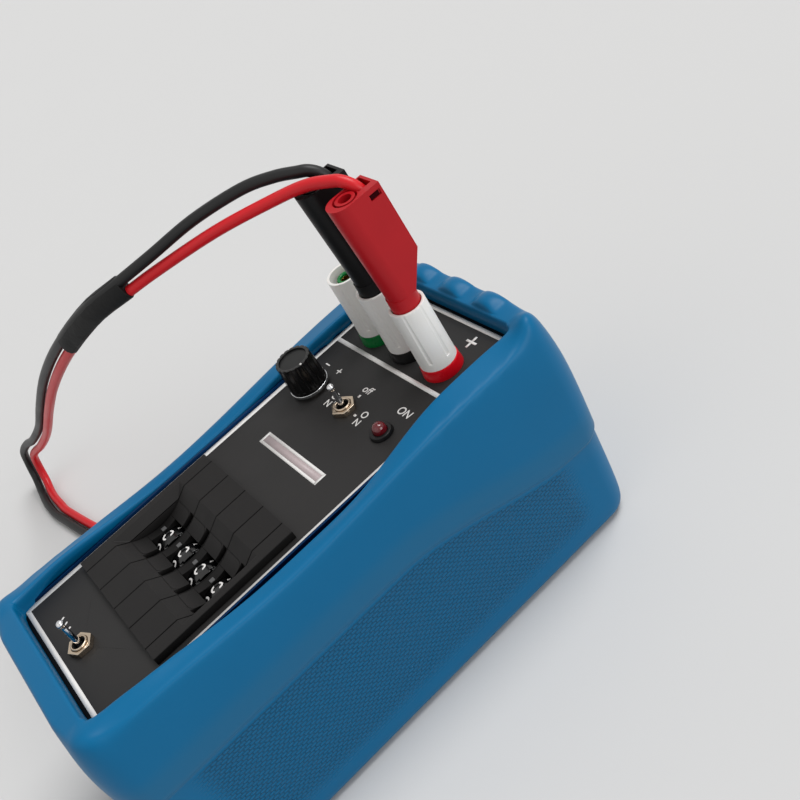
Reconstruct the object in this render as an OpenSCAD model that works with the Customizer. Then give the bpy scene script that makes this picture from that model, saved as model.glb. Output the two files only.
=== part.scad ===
// Hand-held multi-function calibrator, lying on its back in an elastic boot.
// Sizes in millimetres. X runs across the panel, Y towards the terminals,
// Z up out of the panel. The origin is the middle of the boot's back.

/* [Panel] */
// Width of the front panel plate
panel_w = 72; // [70:0.5:76]
// Length of the front panel plate
panel_l = 170; // [166:1:180]
// Thickness of the front panel plate
panel_t = 1.6; // [1:0.1:2.4]
// Height of the panel's face above the back of the boot
panel_z = 84; // [80:0.5:96]
// Air left around pieces that drop into each other
fit_gap = 0.1; // [0.05:0.01:0.2]
// Radial air of turning and sliding pieces
run_gap = 0.04; // [0.02:0.01:0.1]

/* [Case] */
// Wall of the case channel
case_t = 1; // [0.8:0.1:1.6]
// Height of the case rails above the panel's face
rail_h = 1.2; // [0.6:0.1:2]
// Thickness of each end plate
end_t = 1.5; // [1:0.1:2.5]
// Outer radius of the screw ports inside the channel
port_r = 2.6; // [2.3:0.1:3]
// Radius of an end screw's shank
screw_r = 1.45; // [1.2:0.05:1.6]
// Length of an end screw
screw_l = 8; // [6:0.5:12]
// Height of the circuit board above the case floor
board_h = 45; // [40:1:48]

/* [Boot] */
// Height of the boot's floor under the case
floor_t = 4; // [3:0.5:8]
// Air between the case and the boot's cavity
boot_gap = 0.4; // [0.3:0.05:0.8]
// Wall of the boot beside the case, at its widest
boot_wall = 9.3; // [8:0.1:12]
// Wall of the boot beyond the end plates, at its longest
boot_end = 10; // [9:0.1:13]
// Radius of the boot's upright corners
boot_corner = 11; // [9:0.5:13]
// Radius of each bump on the upper rim
bump_r = 8.5; // [7:0.1:9]
// Height of the bumps above the panel's face
bump_h = 10; // [8:0.5:12]
// Depth of the ledge above the gripped lower half
step_in = 0.9; // [0.5:0.1:1.5]

/* [Terminals] */
// Distance between neighbouring terminals
term_pitch = 19.05; // [17:0.05:20]
// Distance of the terminals from the panel's upper edge
term_inset = 19.2; // [16:0.1:24]
// Radius of the terminal collars at the panel
collar_r = 7.2; // [6.8:0.1:8]
// Height of the terminal collars
collar_h = 4.1; // [3:0.1:6]
// Outer radius of the white caps at their foot
cap_r = 6.5; // [6.2:0.1:6.7]
// Height of the white caps
cap_h = 24.3; // [23:0.1:28]
// Radius of the cap's open mouth
cap_mouth_r = 5.3; // [5.2:0.05:5.6]
// Outer radius of the coloured inner tube
tube_r = 3.3; // [3.1:0.05:3.6]
// Radius of the test socket
socket_r = 2; // [1.9:0.01:2.1]
// Radius of the moulded guide in front of a plug's rear socket
guide_r = 2.2; // [2.15:0.01:2.5]
// Depth of the test socket below the inner tube's top
socket_d = 18; // [14:1:20]
// Lift of a cap over its two turns
cap_lift = 1.5; // [1:0.1:2]

/* [Switches] */
// Distance of the knob, switch and lamp row from the upper edge
row_inset = 49.6; // [47:0.1:54]
// Distance of knob and lamp from the middle line
row_x = 22.7; // [20:0.1:25]
// Distance of the range switch from the lower edge
range_inset = 9; // [7:0.1:12]
// Width across the flats of a switch nut
nut_af = 8; // [7.5:0.1:10]
// Radius of a switch bushing
bush_r = 3; // [2.8:0.1:3.4]
// Height of a lever's ball tip above the panel
lever_h = 10.4; // [9:0.1:13]
// Throw of a lever to either side
lever_throw = 12; // [8:1:14]
// Radius of the knob at its foot
knob_r = 7; // [6.8:0.1:8]
// Height of the knob above the panel
knob_h = 14; // [12:0.1:18]
// Radius of the lamp's lens
lens_r = 2.5; // [2:0.1:3]
// Radius of the lamp's clip
clip_r = 4.25; // [3.8:0.05:5]

/* [Thumbwheels] */
// Width of one thumbwheel module
wheel_pitch = 12.7; // [12.5:0.1:13]
// Width of each end cap of the thumbwheel block
endcap_w = 6.35; // [5.6:0.05:6.6]
// Length of the thumbwheel block along the panel
block_l = 54.4; // [50:0.1:58]
// Distance of the block's middle from the lower edge
block_rise = 50.8; // [48:0.1:60]
// Height of the block above the panel
block_h = 2.8; // [2:0.1:4]
// Half the length of the block's recess at the panel's level
recess_half = 10.35; // [9.8:0.05:11]
// Depth of the curved floor of the recess
dish_d = 3; // [2.6:0.1:3.2]
// Radius of a digit wheel
wheel_r = 9.8; // [9.4:0.1:10]
// Width of a digit wheel
wheel_w = 7.5; // [6:0.1:7.6]
// Travel of a push button
button_travel = 1.5; // [1:0.1:1.5]

/* [Leads] */
// Thickness of the leads
lead_d = 4; // [3:0.1:4]
// Thickness of a stackable plug
plug_w = 10; // [9.6:0.1:11]
// Length of a plug's body
plug_l = 37; // [32:0.5:42]
// Height of a plug's body above the terminal's mouth
plug_lift = 4.5; // [4:0.1:8]

/* [Hidden] */
$fn = 48;
far = 400;
eps = 0.01;

// case levels and widths
case_in = panel_w / 2 + fit_gap;
case_out = case_in + case_t;
case_floor = floor_t + case_t;
panel_bot = panel_z - panel_t;
ledge_w = 2.5;
ledge_t = 1.2;
board_z = case_floor + board_h;
board_t = 1.6;
slot_t = 1.2;
port_x = case_in - port_r + 0.6;
port_low = case_floor + port_r - 0.6;
port_high = panel_bot - ledge_t - port_r + 0.6;
end_y = panel_l / 2;
end_top = panel_z - 0.4;
head_h = 1.4;

// boot levels and widths
cav_a = case_out + boot_gap;
cav_b = end_y + end_t + boot_gap + 0.1;
boot_a = cav_a + boot_wall;
boot_b = cav_b + boot_end;
lip_b = end_y + 1;
lip_z = panel_z + rail_h + 0.3;
n_side = 20;
n_corner = 8;
bump_half = 6.5;
bump_at = [-1, -0.8, -0.45, 0, 0.45, 0.8, 1] * bump_half;
end_x = [for (c = [term_pitch, 0, -term_pitch], u = bump_at) c - u];
n_end = len(end_x) + 1;
n_ring = 2 * n_side + 4 * n_corner + 2 * n_end;

// positions on the panel
term_y = end_y - term_inset;
row_y = end_y - row_inset;
range_y = range_inset - end_y;
block_y = block_rise - end_y;
term_x = [-term_pitch, 0, term_pitch];

// terminals
cap_gap = 0.1;
cap_z = panel_z + collar_h + cap_gap;
cap_top = cap_z + cap_h;
tube_top = cap_top - 2.5;
liner_r = socket_r + 0.7;
spigot_r = 3.9;
stud_r = 2.5;
stud_low = panel_bot - 16;
insert_h = 7.5;
insert_z = cap_z + 2.8;
insert_r = cap_mouth_r - 0.05;
lip_r = 4.5;
wire_r = 0.8;
post_nut_h = 3;

// plugs
plug_z = cap_top + plug_lift;
pin_r = socket_r - 0.02;
pin_low = 0.5;
neck_l = cap_h + plug_lift - (insert_z - cap_z + insert_h + 1 + cap_lift + 0.5);
cable_y = 6.6;
plug_tilt = 2.94;
shroud_in = tube_r + fit_gap;

// panel switches
lever_piv = 2;
lever_pin_r = 0.6;
lever_pin_l = 2.6;
bush_in = 2.2;
nut_h = 2;
switch_w = 8;
switch_l = 13;
switch_d = 9.5;
bush_top = panel_z + nut_h - 0.1;
pot_r = 8;
pot_d = 8;
pot_bush_r = 3.5;
shaft_r = 2;
pot_nut_af = 10;
pot_nut_h = 1.8;
lens_h = 2.4;
clip_h = 1.5;

// thumbwheel block
block_x = 2 * wheel_pitch + endcap_w;
block_bot = panel_z - 27;
block_in = 24;
bevel = 4.45;
cap_bevel = 3.35;
dish_r = (recess_half * recess_half + dish_d * dish_d) / (2 * dish_d);
dish_z = panel_z - dish_d + dish_r;
axle_z = panel_z - dish_d - 1 - wheel_r;
axle_r = 2;
wheel_x = 2.2;
win_x = 3.9;
plate_x = 9.9;
gap_w = 1.2;
btn_y0 = 5.3;
win_y = btn_y0 - 0.1;
btn_y1 = 10.2;
btn_z = panel_z - dish_d - 0.7;
rod_r = 1;
rod_y = 19;
rod_z = panel_z - 18;

// hex prism by its width across flats
module hex(af, h) {
  rotate([0, 0, 30]) cylinder(r = af / 2 / cos(30), h = h, $fn = 6);
}

module tube(ro, ri, h) {
  difference() {
    cylinder(r = ro, h = h);
    translate([0, 0, -1]) cylinder(r = ri, h = h + 2);
  }
}

// plate lying along Y, profile drawn in X and Z
module along_y(l) {
  rotate([90, 0, 0]) linear_extrude(height = l, center = true) children();
}

// profile drawn in Y and Z, run along X from 0 to l
module along_x(l) {
  rotate([90, 0, 90]) linear_extrude(height = l) children();
}

// ---- boot ----

function blend(u) = u * u * (3 - 2 * u);
function ramp(y, y0, y1) = blend(min(1, max(0, (y - y0) / (y1 - y0))));

// rise of the rim towards both ends, as a share of its full height
function rise_up(y) = ramp(y, -16, end_y - 24);
function rise_low(y) = ramp(-y, 16, end_y - 6);
function side_rim(y) = panel_z + 1.1 + 3.7 * rise_up(y) + 3.4 * rise_low(y);
// how far the rim leans in over the panel's edge, 0 at the waist
function lean(y) = max(ramp(y, 11, end_y - 29), ramp(-y, 39, end_y - 9));
function rim_in(y) = cav_a + 0.8 - 3.7 * lean(y);
function rim_in_z(y) = panel_z + 1 + 5 * max(ramp(y, 4, 56), ramp(-y, 20, 76));
function lip_under(y) = lip_z - 2.7 * (1 - max(ramp(y, 11, 24), ramp(-y, 39, 54)));
// ledge line between the smooth and the gripped part
function step_z(y) = panel_z - 28 - 17 * ramp(y, 10, 84);

// ears on the corners: t runs from 0 at the side to 1 at the end
function ear(t) = sin(180 * min(1, max(0, t)));

// plan point i of a rounded rectangle, as [x, y, ear share]
function plan(i, a, b, r) =
  let (half = n_ring / 2, k = i % half, s = i < half ? 1 : -1)
  let (p = k < n_side
    ? [a, -(b - r) + 2 * (b - r) * k / n_side, 0]
    : k < n_side + n_corner
    ? let (t = (k - n_side) / n_corner)
      [a - r + r * cos(90 * t), b - r + r * sin(90 * t), ear(t)]
    : k < n_side + n_corner + n_end
    ? [k == n_side + n_corner ? a - r : end_x[k - n_side - n_corner - 1], b, 0]
    : let (t = (k - n_side - n_corner - n_end) / n_corner)
      [-(a - r) - r * sin(90 * t), b - r + r * cos(90 * t), ear(t)])
  [s * p[0], s * p[1], p[2]];

function end_share(y) = ramp(abs(y), end_y - 6, end_y + 4);
function rim_top(p, in) = side_rim(p[1]) + (p[1] > 0 ? 2.2 : 1.6) * end_share(p[1])
  + (p[1] > 0 ? 4.2 : 1.5) * p[2] - in;
// rise of the three bumps above the upper end's rim
function bump(p) =
  let (d = min([for (c = term_x) abs(p[0] - c)]))
  p[1] < cav_b - 2 || abs(p[0]) > term_pitch + bump_half || d > bump_half ? 0
    : max(0, bump_h - bump_r + sqrt(bump_r * bump_r - d * d) - 7);

function flat_ring(a, b, r, z) =
  [for (i = [0:n_ring - 1]) let (p = plan(i, a, b, r)) [p[0], p[1], z]];
function step_ring(a, b, r, dz) =
  [for (i = [0:n_ring - 1]) let (p = plan(i, a, b, r)) [p[0], p[1], step_z(p[1]) + dz]];
function rim_ring(a, b, r, in, share) =
  [for (i = [0:n_ring - 1]) let (p = plan(i, a, b, r))
    [p[0], p[1], rim_top(p, in) + share * bump(p)]];
function lip_ring(off, share) =
  [for (i = [0:n_ring - 1])
    let (q = plan(i, cav_a, lip_b, 2.5), a = rim_in(q[1]) + off,
      p = plan(i, a, lip_b + off, 2.5 + off))
    [p[0], p[1], rim_in_z(p[1]) + end_share(p[1]) + share * bump(p)]];
function under_ring() =
  [for (i = [0:n_ring - 1])
    let (q = plan(i, cav_a, lip_b, 2.5), p = plan(i, rim_in(q[1]), lip_b, 2.5))
    [p[0], p[1], lip_under(p[1])]];
function cavity_ring() =
  [for (i = [0:n_ring - 1]) let (p = plan(i, cav_a, cav_b, 1)) [p[0], p[1], lip_under(p[1])]];

boot_rings = concat(
  flat_ring(boot_a - 7, boot_b - 7.2, 6, 0),
  flat_ring(boot_a - 3.6, boot_b - 3.8, 9, 1.6),
  flat_ring(boot_a - 2.2, boot_b - 2.4, 10, 5.2),
  step_ring(boot_a - 0.6 - step_in, boot_b - 0.7 - step_in, boot_corner - 0.5, 0),
  step_ring(boot_a - 0.6, boot_b - 0.7, boot_corner, 0.8),
  flat_ring(boot_a, boot_b, boot_corner, panel_z - 20),
  flat_ring(boot_a - 0.4, boot_b - 0.4, boot_corner, panel_z - 8),
  rim_ring(boot_a - 1.4, boot_b - 1.8, boot_corner - 0.4, 1.6, 0.35),
  rim_ring(boot_a - 2.2, boot_b - 2.8, boot_corner - 1, 0.3, 0.75),
  rim_ring(boot_a - 4.6, boot_b - 5.2, boot_corner - 2.4, 0, 1),
  lip_ring(1.5, 1),
  lip_ring(1.2, 0),
  lip_ring(0, 0),
  under_ring(),
  cavity_ring(),
  flat_ring(cav_a, cav_b, 1, floor_t));
boot_n = len(boot_rings) / n_ring;
boot_mid = [[0, 0, 0], [0, 0, floor_t]];

module boot() {
  mid = len(boot_rings);
  last = mid - n_ring;
  color("SteelBlue") polyhedron(points = concat(boot_rings, boot_mid), convexity = 8,
    faces = concat(
    [for (i = [0:n_ring - 1]) [mid, i, (i + 1) % n_ring]],
    [for (k = [0:boot_n - 2], i = [0:n_ring - 1]) let (j = (i + 1) % n_ring)
      [k * n_ring + i, (k + 1) * n_ring + i, (k + 1) * n_ring + j]],
    [for (k = [0:boot_n - 2], i = [0:n_ring - 1]) let (j = (i + 1) % n_ring)
      [k * n_ring + i, (k + 1) * n_ring + j, k * n_ring + j]],
    [for (i = [0:n_ring - 1]) [mid + 1, last + (i + 1) % n_ring, last + i]]));
}

// ---- case ----

module case_section() {
  difference() {
    union() {
      for (s = [-1, 1]) {
        translate([s > 0 ? case_in : -case_out, floor_t])
          square([case_t, panel_z + rail_h - floor_t]);
        translate([s > 0 ? case_in - ledge_w : -case_in - 0.2, panel_bot - ledge_t])
          square([ledge_w + 0.2, ledge_t]);
        for (z = [board_z - slot_t, board_z + board_t + fit_gap])
          translate([s > 0 ? case_in - 2 : -case_in - 0.2, z]) square([2.2, slot_t]);
        for (z = [port_low, port_high])
          translate([s * port_x, z]) circle(r = port_r);
      }
      translate([-case_out, floor_t]) square([2 * case_out, case_t]);
    }
    for (s = [-1, 1], z = [port_low, port_high])
      translate([s * port_x, z]) circle(r = screw_r + run_gap / 2);
  }
}

module case_channel() {
  color("MidnightBlue") along_y(panel_l) case_section();
}

module at_end_screws() {
  for (m = [0, 1], s = [-1, 1], z = [port_low, port_high])
    mirror([0, m, 0]) translate([s * port_x, end_y + end_t, z]) rotate([90, 0, 0])
      children();
}

module end_plates() {
  color("DimGray") difference() {
    for (s = [-1, 1])
      translate([-case_out, s > 0 ? end_y : -end_y - end_t, floor_t])
        cube([2 * case_out, end_t, end_top - floor_t]);
    at_end_screws() translate([0, 0, -1]) {
      cylinder(r = screw_r + fit_gap, h = end_t + 2);
      cylinder(r1 = screw_r + head_h + 1 + fit_gap, r2 = screw_r + fit_gap, h = head_h + 1);
    }
  }
}

module end_screws() {
  color("Silver") at_end_screws() difference() {
    union() {
      cylinder(r1 = screw_r + head_h, r2 = screw_r, h = head_h);
      cylinder(r = screw_r, h = screw_l);
    }
    translate([0, 0, -1]) hex(1.7, 1.8);
  }
}

module front_panel() {
  color("DarkSlateGray") difference() {
    translate([-panel_w / 2, -end_y, panel_bot]) cube([panel_w, panel_l, panel_t]);
    for (x = term_x)
      translate([x, term_y, panel_bot - 1]) cylinder(r = spigot_r + run_gap, h = panel_t + 2);
    for (y = [row_y, range_y])
      translate([0, y, panel_bot - 1]) cylinder(r = bush_r + run_gap, h = panel_t + 2);
    translate([-row_x, row_y, panel_bot - 1])
      cylinder(r = pot_bush_r + run_gap, h = panel_t + 2);
    translate([row_x, row_y, panel_bot - 1])
      cylinder(r = clip_r - 0.35 + run_gap, h = panel_t + 2);
    translate([-2 * wheel_pitch - 1.9 - fit_gap, block_y - block_in - fit_gap, panel_bot - 1])
      cube([2 * (2 * wheel_pitch + 1.9 + fit_gap), 2 * (block_in + fit_gap), panel_t + 2]);
  }
}

// ---- inside the case ----

cell_r = 7.2;
cell_l = 50;
cell_pitch = 15;
holder_in = 10;
cell_y = holder_in + cell_l / 2 - end_y;
cell_z = case_floor + 1.2 + cell_r;
contact_t = 0.6;

module battery_holder() {
  color("Black") difference() {
    translate([-2 * cell_pitch - 0.8, cell_y - cell_l / 2 - contact_t - 1.5, case_floor])
      cube([4 * cell_pitch + 1.6, cell_l + 2 * contact_t + 3, 1.2 + 1.5 * cell_r]);
    translate([-2 * cell_pitch + 0.1, cell_y - cell_l / 2 - contact_t, case_floor + 1.2])
      cube([4 * cell_pitch - 0.2, cell_l + 2 * contact_t, 3 * cell_r]);
  }
}

module battery_contacts() {
  color("Silver") for (s = [-1, 1], x = [-1, 1])
    translate([x * cell_pitch - cell_pitch + 1,
      s > 0 ? cell_y + cell_l / 2 : cell_y - cell_l / 2 - contact_t, case_floor + 1.2])
      cube([2 * cell_pitch - 2, contact_t, 1.4 * cell_r]);
}

module battery_cells() {
  color("Goldenrod") for (i = [-1.5:1:1.5])
    translate([i * cell_pitch, cell_y - cell_l / 2, cell_z]) rotate([-90, 0, 0]) {
      cylinder(r = cell_r, h = cell_l - 1.5);
      cylinder(r = 2.7, h = cell_l);
    }
}

module circuit_board() {
  color("ForestGreen") translate([-case_in + fit_gap, -end_y + 1, board_z])
    cube([2 * case_in - 2 * fit_gap, panel_l - 2, board_t]);
}

module board_components() {
  top = board_z + board_t;
  color("DarkSlateGray") translate([0, row_y, top]) {
    for (x = [-22, 2]) translate([x, -18, 0]) cube([20, 6.4, 3.6]);
    for (x = [-24, 24]) translate([x, -31, 0]) cylinder(r = 4, h = 10);
    translate([0, 5, 0]) cylinder(r = 4.5, h = 5);
    translate([-12, 20, 0]) cube([24, 8, 6]);
  }
}

// ---- terminals ----

module terminal_posts() {
  color("Goldenrod") for (x = term_x) translate([x, term_y, 0]) difference() {
    union() {
      translate([0, 0, panel_z]) cylinder(r = liner_r, h = tube_top - panel_z);
      translate([0, 0, stud_low]) cylinder(r = stud_r, h = panel_z + 1 - stud_low);
    }
    translate([0, 0, tube_top - socket_d]) cylinder(r = socket_r, h = socket_d + 1);
    translate([0, 0, panel_z + collar_h + wire_r + cap_gap]) rotate([0, 90, 0])
      cylinder(r = wire_r, h = 4 * liner_r, center = true, $fn = 24);
  }
}

module terminal_base(col) {
  color(col) difference() {
    union() {
      cylinder(r1 = collar_r, r2 = collar_r - 0.45, h = collar_h);
      cylinder(r = tube_r, h = tube_top - panel_z);
      translate([0, 0, -panel_t]) cylinder(r = spigot_r, h = panel_t);
    }
    cylinder(r = liner_r + run_gap / 2, h = far);
    translate([0, 0, -far / 2]) cylinder(r = stud_r + run_gap, h = far / 2 + 1);
    translate([0, 0, collar_h + wire_r + cap_gap]) rotate([0, 90, 0])
      cylinder(r = wire_r, h = 4 * tube_r, center = true, $fn = 24);
  }
}

module terminal_insert() {
  color("Silver") tube(insert_r, tube_r + run_gap, insert_h);
}

module terminal_cap() {
  color("Gainsboro") difference() {
    cylinder(r1 = cap_r, r2 = cap_r - 0.25, h = cap_h);
    translate([0, 0, -1]) cylinder(r = lip_r, h = cap_h);
    translate([0, 0, insert_z - cap_z - run_gap])
      cylinder(r = insert_r + run_gap, h = insert_h + 2 * run_gap);
    translate([0, 0, insert_z - cap_z + insert_h + 1]) cylinder(r = cap_mouth_r, h = cap_h);
    for (a = [0:60:300]) rotate([0, 0, a + 12])
      translate([cap_r + 0.75, 0, 3]) cylinder(r = 1.15, h = cap_h, $fn = 24);
  }
}

module terminal_base_green() {
  translate([-term_pitch, term_y, panel_z]) terminal_base("SeaGreen");
}

module terminal_base_black() {
  translate([0, term_y, panel_z]) terminal_base("Black");
}

module terminal_base_red() {
  translate([term_pitch, term_y, panel_z]) terminal_base("Crimson");
}

module terminal_insert_green() {
  translate([-term_pitch, term_y, insert_z]) terminal_insert();
}

module terminal_insert_black() {
  translate([0, term_y, insert_z]) terminal_insert();
}

module terminal_insert_red() {
  translate([term_pitch, term_y, insert_z]) terminal_insert();
}

module terminal_cap_green() {
  translate([-term_pitch, term_y, cap_z]) terminal_cap();
}

module terminal_cap_black() {
  translate([0, term_y, cap_z]) terminal_cap();
}

module terminal_cap_red() {
  translate([term_pitch, term_y, cap_z]) terminal_cap();
}

module terminal_nuts() {
  color("Silver") for (x = term_x) translate([x, term_y, panel_bot - post_nut_h])
    difference() {
      hex(9, post_nut_h);
      translate([0, 0, -1]) cylinder(r = stud_r + run_gap / 2, h = post_nut_h + 2);
    }
}

// ---- panel switches, knob and lamp ----

module at_switches() {
  for (y = [row_y, range_y]) translate([0, y, 0]) children();
}

module toggle_bodies() {
  color("DimGray") at_switches() {
    difference() {
      union() {
        translate([-switch_l / 2, -switch_w / 2, panel_bot - switch_d])
          cube([switch_l, switch_w, switch_d]);
        translate([0, 0, panel_bot - eps]) cylinder(r = bush_r, h = bush_top - panel_bot);
      }
      translate([0, 0, panel_z - lever_piv - bush_in]) cylinder(r = bush_in, h = far);
      translate([0, 0, panel_z - lever_piv]) rotate([90, 0, 0])
        cylinder(r = lever_pin_r + run_gap, h = 2 * lever_pin_l + 0.2, center = true, $fn = 24);
    }
    for (x = [-4.7, 0, 4.7])
      translate([x - 0.4, -1, panel_bot - switch_d - 4]) cube([0.8, 2, 4]);
  }
}

module toggle_nuts() {
  color("Silver") {
    at_switches() translate([0, 0, panel_z]) difference() {
      hex(nut_af, nut_h);
      translate([0, 0, -1]) cylinder(r = bush_r + run_gap / 2, h = nut_h + 2);
    }
    translate([-row_x, row_y, panel_z]) difference() {
      hex(pot_nut_af, pot_nut_h);
      translate([0, 0, -1]) cylinder(r = pot_bush_r + run_gap / 2, h = pot_nut_h + 2);
    }
  }
}

// lever about its pivot: ball on a cross pin, slender cone and ball tip
module lever() {
  reach = lever_h + lever_piv;
  waist = 4;
  color("Silver") {
    sphere(r = bush_in - 0.3);
    rotate([90, 0, 0])
      cylinder(r = lever_pin_r, h = 2 * lever_pin_l, center = true, $fn = 24);
    cylinder(r = 0.65, h = waist + eps);
    translate([0, 0, waist]) cylinder(r1 = 0.65, r2 = 0.95, h = reach - waist);
    translate([0, 0, reach]) sphere(r = 1.35);
  }
}

module toggle_lever_1() {
  translate([0, row_y, panel_z - lever_piv]) lever();
}

module toggle_lever_2() {
  translate([0, range_y, panel_z - lever_piv]) rotate([0, -lever_throw, 0]) lever();
}

// knob turned out of one profile, with flutes that follow its taper
module knob() {
  foot = 1;
  ring_h = 1.4;
  top = knob_h - foot;
  bore = shaft_r + run_gap / 2;
  color("Black") translate([-row_x, row_y, panel_z + foot]) difference() {
    rotate_extrude() polygon([[knob_r - 1, 0], [knob_r - 0.4, 0], [knob_r - 0.4, ring_h],
      [knob_r, ring_h], [knob_r - 0.5, top], [knob_r - 1.7, top], [knob_r - 1.7, top - 1.4],
      [0, top - 1.4], [0, top - 3], [bore, top - 3], [bore, pot_nut_h],
      [knob_r - 1, pot_nut_h]]);
    for (a = [0:20:340]) rotate([0, 0, a]) translate([knob_r + 0.15, 0, ring_h + 1])
      rotate([0, -2.4, 0]) cylinder(r = 0.55, h = knob_h, $fn = 16);
  }
}

module knob_cap() {
  color("DimGray") translate([-row_x, row_y, panel_z + knob_h - 1.4])
    cylinder(r = knob_r - 1.7 - run_gap, h = 0.8);
}

module knob_ring() {
  color("Silver") translate([-row_x, row_y, panel_z + 1.1])
    tube(knob_r + 0.2, knob_r - 0.4 + run_gap / 2, 1.2);
}

module potentiometer() {
  color("DarkGray") translate([-row_x, row_y, 0]) difference() {
    union() {
      translate([0, 0, panel_bot - pot_d]) cylinder(r = pot_r, h = pot_d);
      translate([0, 0, panel_bot - eps]) cylinder(r = pot_bush_r, h = panel_t + pot_nut_h);
      translate([-6, -pot_r - 5, panel_bot - pot_d]) cube([12, 8, 1.6]);
    }
    translate([0, 0, panel_bot - pot_d + 2]) cylinder(r = shaft_r + run_gap, h = far);
  }
}

module pot_shaft() {
  color("Silver") translate([-row_x, row_y, panel_bot - pot_d + 2.1])
    cylinder(r = shaft_r, h = pot_d - 2.1 + panel_t + knob_h - 4.2);
}

module led() {
  color("DarkRed") translate([row_x, row_y, panel_z - 4]) {
    cylinder(r = lens_r, h = 4 + lens_h - 0.4);
    cylinder(r = lens_r + 0.4, h = 1);
    translate([0, 0, 4 + lens_h - 0.4]) intersection() {
      sphere(r = lens_r);
      cylinder(r = lens_r, h = lens_r + 1);
    }
    for (x = [-1.27, 1.27]) translate([x - 0.25, -0.25, -12]) cube([0.5, 0.5, 12 + eps]);
  }
}

module led_clip() {
  color("Black") translate([row_x, row_y, 0]) difference() {
    union() {
      translate([0, 0, panel_z]) cylinder(r1 = clip_r, r2 = clip_r - 0.4, h = clip_h);
      translate([0, 0, panel_bot - 1.6]) cylinder(r = clip_r - 0.35, h = panel_t + 1.6 + eps);
    }
    translate([0, 0, panel_z - 3]) cylinder(r = lens_r + run_gap / 2, h = far);
    translate([0, 0, panel_z - 4 - eps]) cylinder(r = lens_r + 0.4 + run_gap, h = 1 + 2 * eps);
  }
}

// ---- thumbwheel block ----

// funnel of the recess above the panel, with mitred corners
module recess_funnel() {
  top = block_h + 0.01;
  k = top / block_h;
  intersection() {
    translate([-far / 2, block_y, panel_z]) along_x(far)
      polygon([[-recess_half, 0], [recess_half, 0],
        [recess_half + bevel * k, top], [-recess_half - bevel * k, top]]);
    translate([0, block_y, panel_z]) along_y(4 * block_l)
      polygon([[-2 * wheel_pitch, 0], [2 * wheel_pitch, 0],
        [2 * wheel_pitch + cap_bevel * k, top], [-2 * wheel_pitch - cap_bevel * k, top]]);
  }
}

module block_slice(x0, w, body_x0, body_w) {
  translate([x0, block_y - block_l / 2, panel_z]) cube([w, block_l, block_h]);
  translate([body_x0, block_y - block_in, block_bot])
    cube([body_w, 2 * block_in, panel_z - block_bot]);
}

module rods_through(gap) {
  for (s = [-1, 1]) translate([-2 * wheel_pitch - 1.9 - 1, block_y + s * rod_y, rod_z])
    rotate([0, 90, 0]) cylinder(r = rod_r + gap, h = 4 * wheel_pitch + 3.8 + 2, $fn = 24);
}

module wheel_cap(s) {
  color("DimGray") difference() {
    block_slice(s > 0 ? 2 * wheel_pitch : -block_x, endcap_w,
      s > 0 ? 2 * wheel_pitch : -2 * wheel_pitch - 1.9, 1.9);
    recess_funnel();
    rods_through(run_gap / 2);
  }
}

module wheel_cap_left() {
  wheel_cap(-1);
}

module wheel_cap_right() {
  wheel_cap(1);
}

// plan outline of a button in its own quarter, v is +1 above and -1 below
module button_plan(v, gap) {
  r = 2;
  x0 = 0.5 - gap;
  x1 = plate_x - 0.1 + gap;
  y0 = btn_y0 - gap;
  y1 = btn_y1 + gap;
  scale([1, v, 1]) union() {
    translate([x0, y0]) square([x1 - x0, y1 - y0 - r]);
    translate([x0, y0]) square([x1 - x0 - r, y1 - y0]);
    translate([x1 - r, y1 - r]) circle(r = r);
  }
}

module dish(drop) {
  translate([-1, 0, dish_z]) rotate([0, 90, 0])
    cylinder(r = dish_r + drop, h = wheel_pitch + 2, $fn = 96);
}

module wheel_housing(i) {
  color("DarkSlateGray") difference() {
    translate([i * wheel_pitch, 0, 0])
      block_slice(0, wheel_pitch, 0, wheel_pitch);
    recess_funnel();
    rods_through(run_gap / 2);
    translate([i * wheel_pitch, block_y, 0]) {
      intersection() {
        dish(0);
        translate([-2, -recess_half, 0]) cube([wheel_pitch + 4, 2 * recess_half, panel_z + 1]);
      }
      intersection() {
        dish(1);
        translate([plate_x, -recess_half, 0])
          cube([wheel_pitch, 2 * recess_half, panel_z + 1]);
      }
      translate([plate_x, -recess_half + 0.3, panel_z - dish_d - 4])
        cube([gap_w, 2 * recess_half - 0.6, 8]);
      translate([win_x, -win_y, axle_z]) cube([plate_x - win_x + eps, 2 * win_y, 20]);
      difference() {
        translate([wheel_x - 0.2, 0, axle_z]) rotate([0, 90, 0])
          cylinder(r = wheel_r + 0.2, h = plate_x + gap_w - wheel_x + 0.2);
        translate([0, 0, axle_z]) rotate([0, 90, 0]) cylinder(r = axle_r, h = wheel_pitch);
      }
      for (v = [-1, 1]) translate([0, 0, btn_z - button_travel - 0.1])
        linear_extrude(height = 10) button_plan(v, 0.1);
    }
  }
}

module digit_wheel(i) {
  color("Black") translate([i * wheel_pitch + wheel_x, block_y, axle_z])
    rotate([0, 90, 0]) difference() {
      cylinder(r = wheel_r, h = wheel_w);
      translate([0, 0, -1]) cylinder(r = axle_r + run_gap, h = wheel_w + 2);
      for (a = [0:36:324]) rotate([0, 0, a + 18])
        translate([wheel_r + 0.5, 0, wheel_w - 1]) cylinder(r = 1.1, h = 2, $fn = 16);
    }
}

module button(i, v) {
  color("DimGray") translate([i * wheel_pitch, block_y, 0]) difference() {
    translate([0, 0, btn_z]) linear_extrude(height = panel_z - btn_z) button_plan(v, 0);
    dish(0);
  }
}

module wheel_housing_1() {
  wheel_housing(-2);
}

module wheel_housing_2() {
  wheel_housing(-1);
}

module wheel_housing_3() {
  wheel_housing(0);
}

module wheel_housing_4() {
  wheel_housing(1);
}

module digit_wheel_1() {
  digit_wheel(-2);
}

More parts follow.
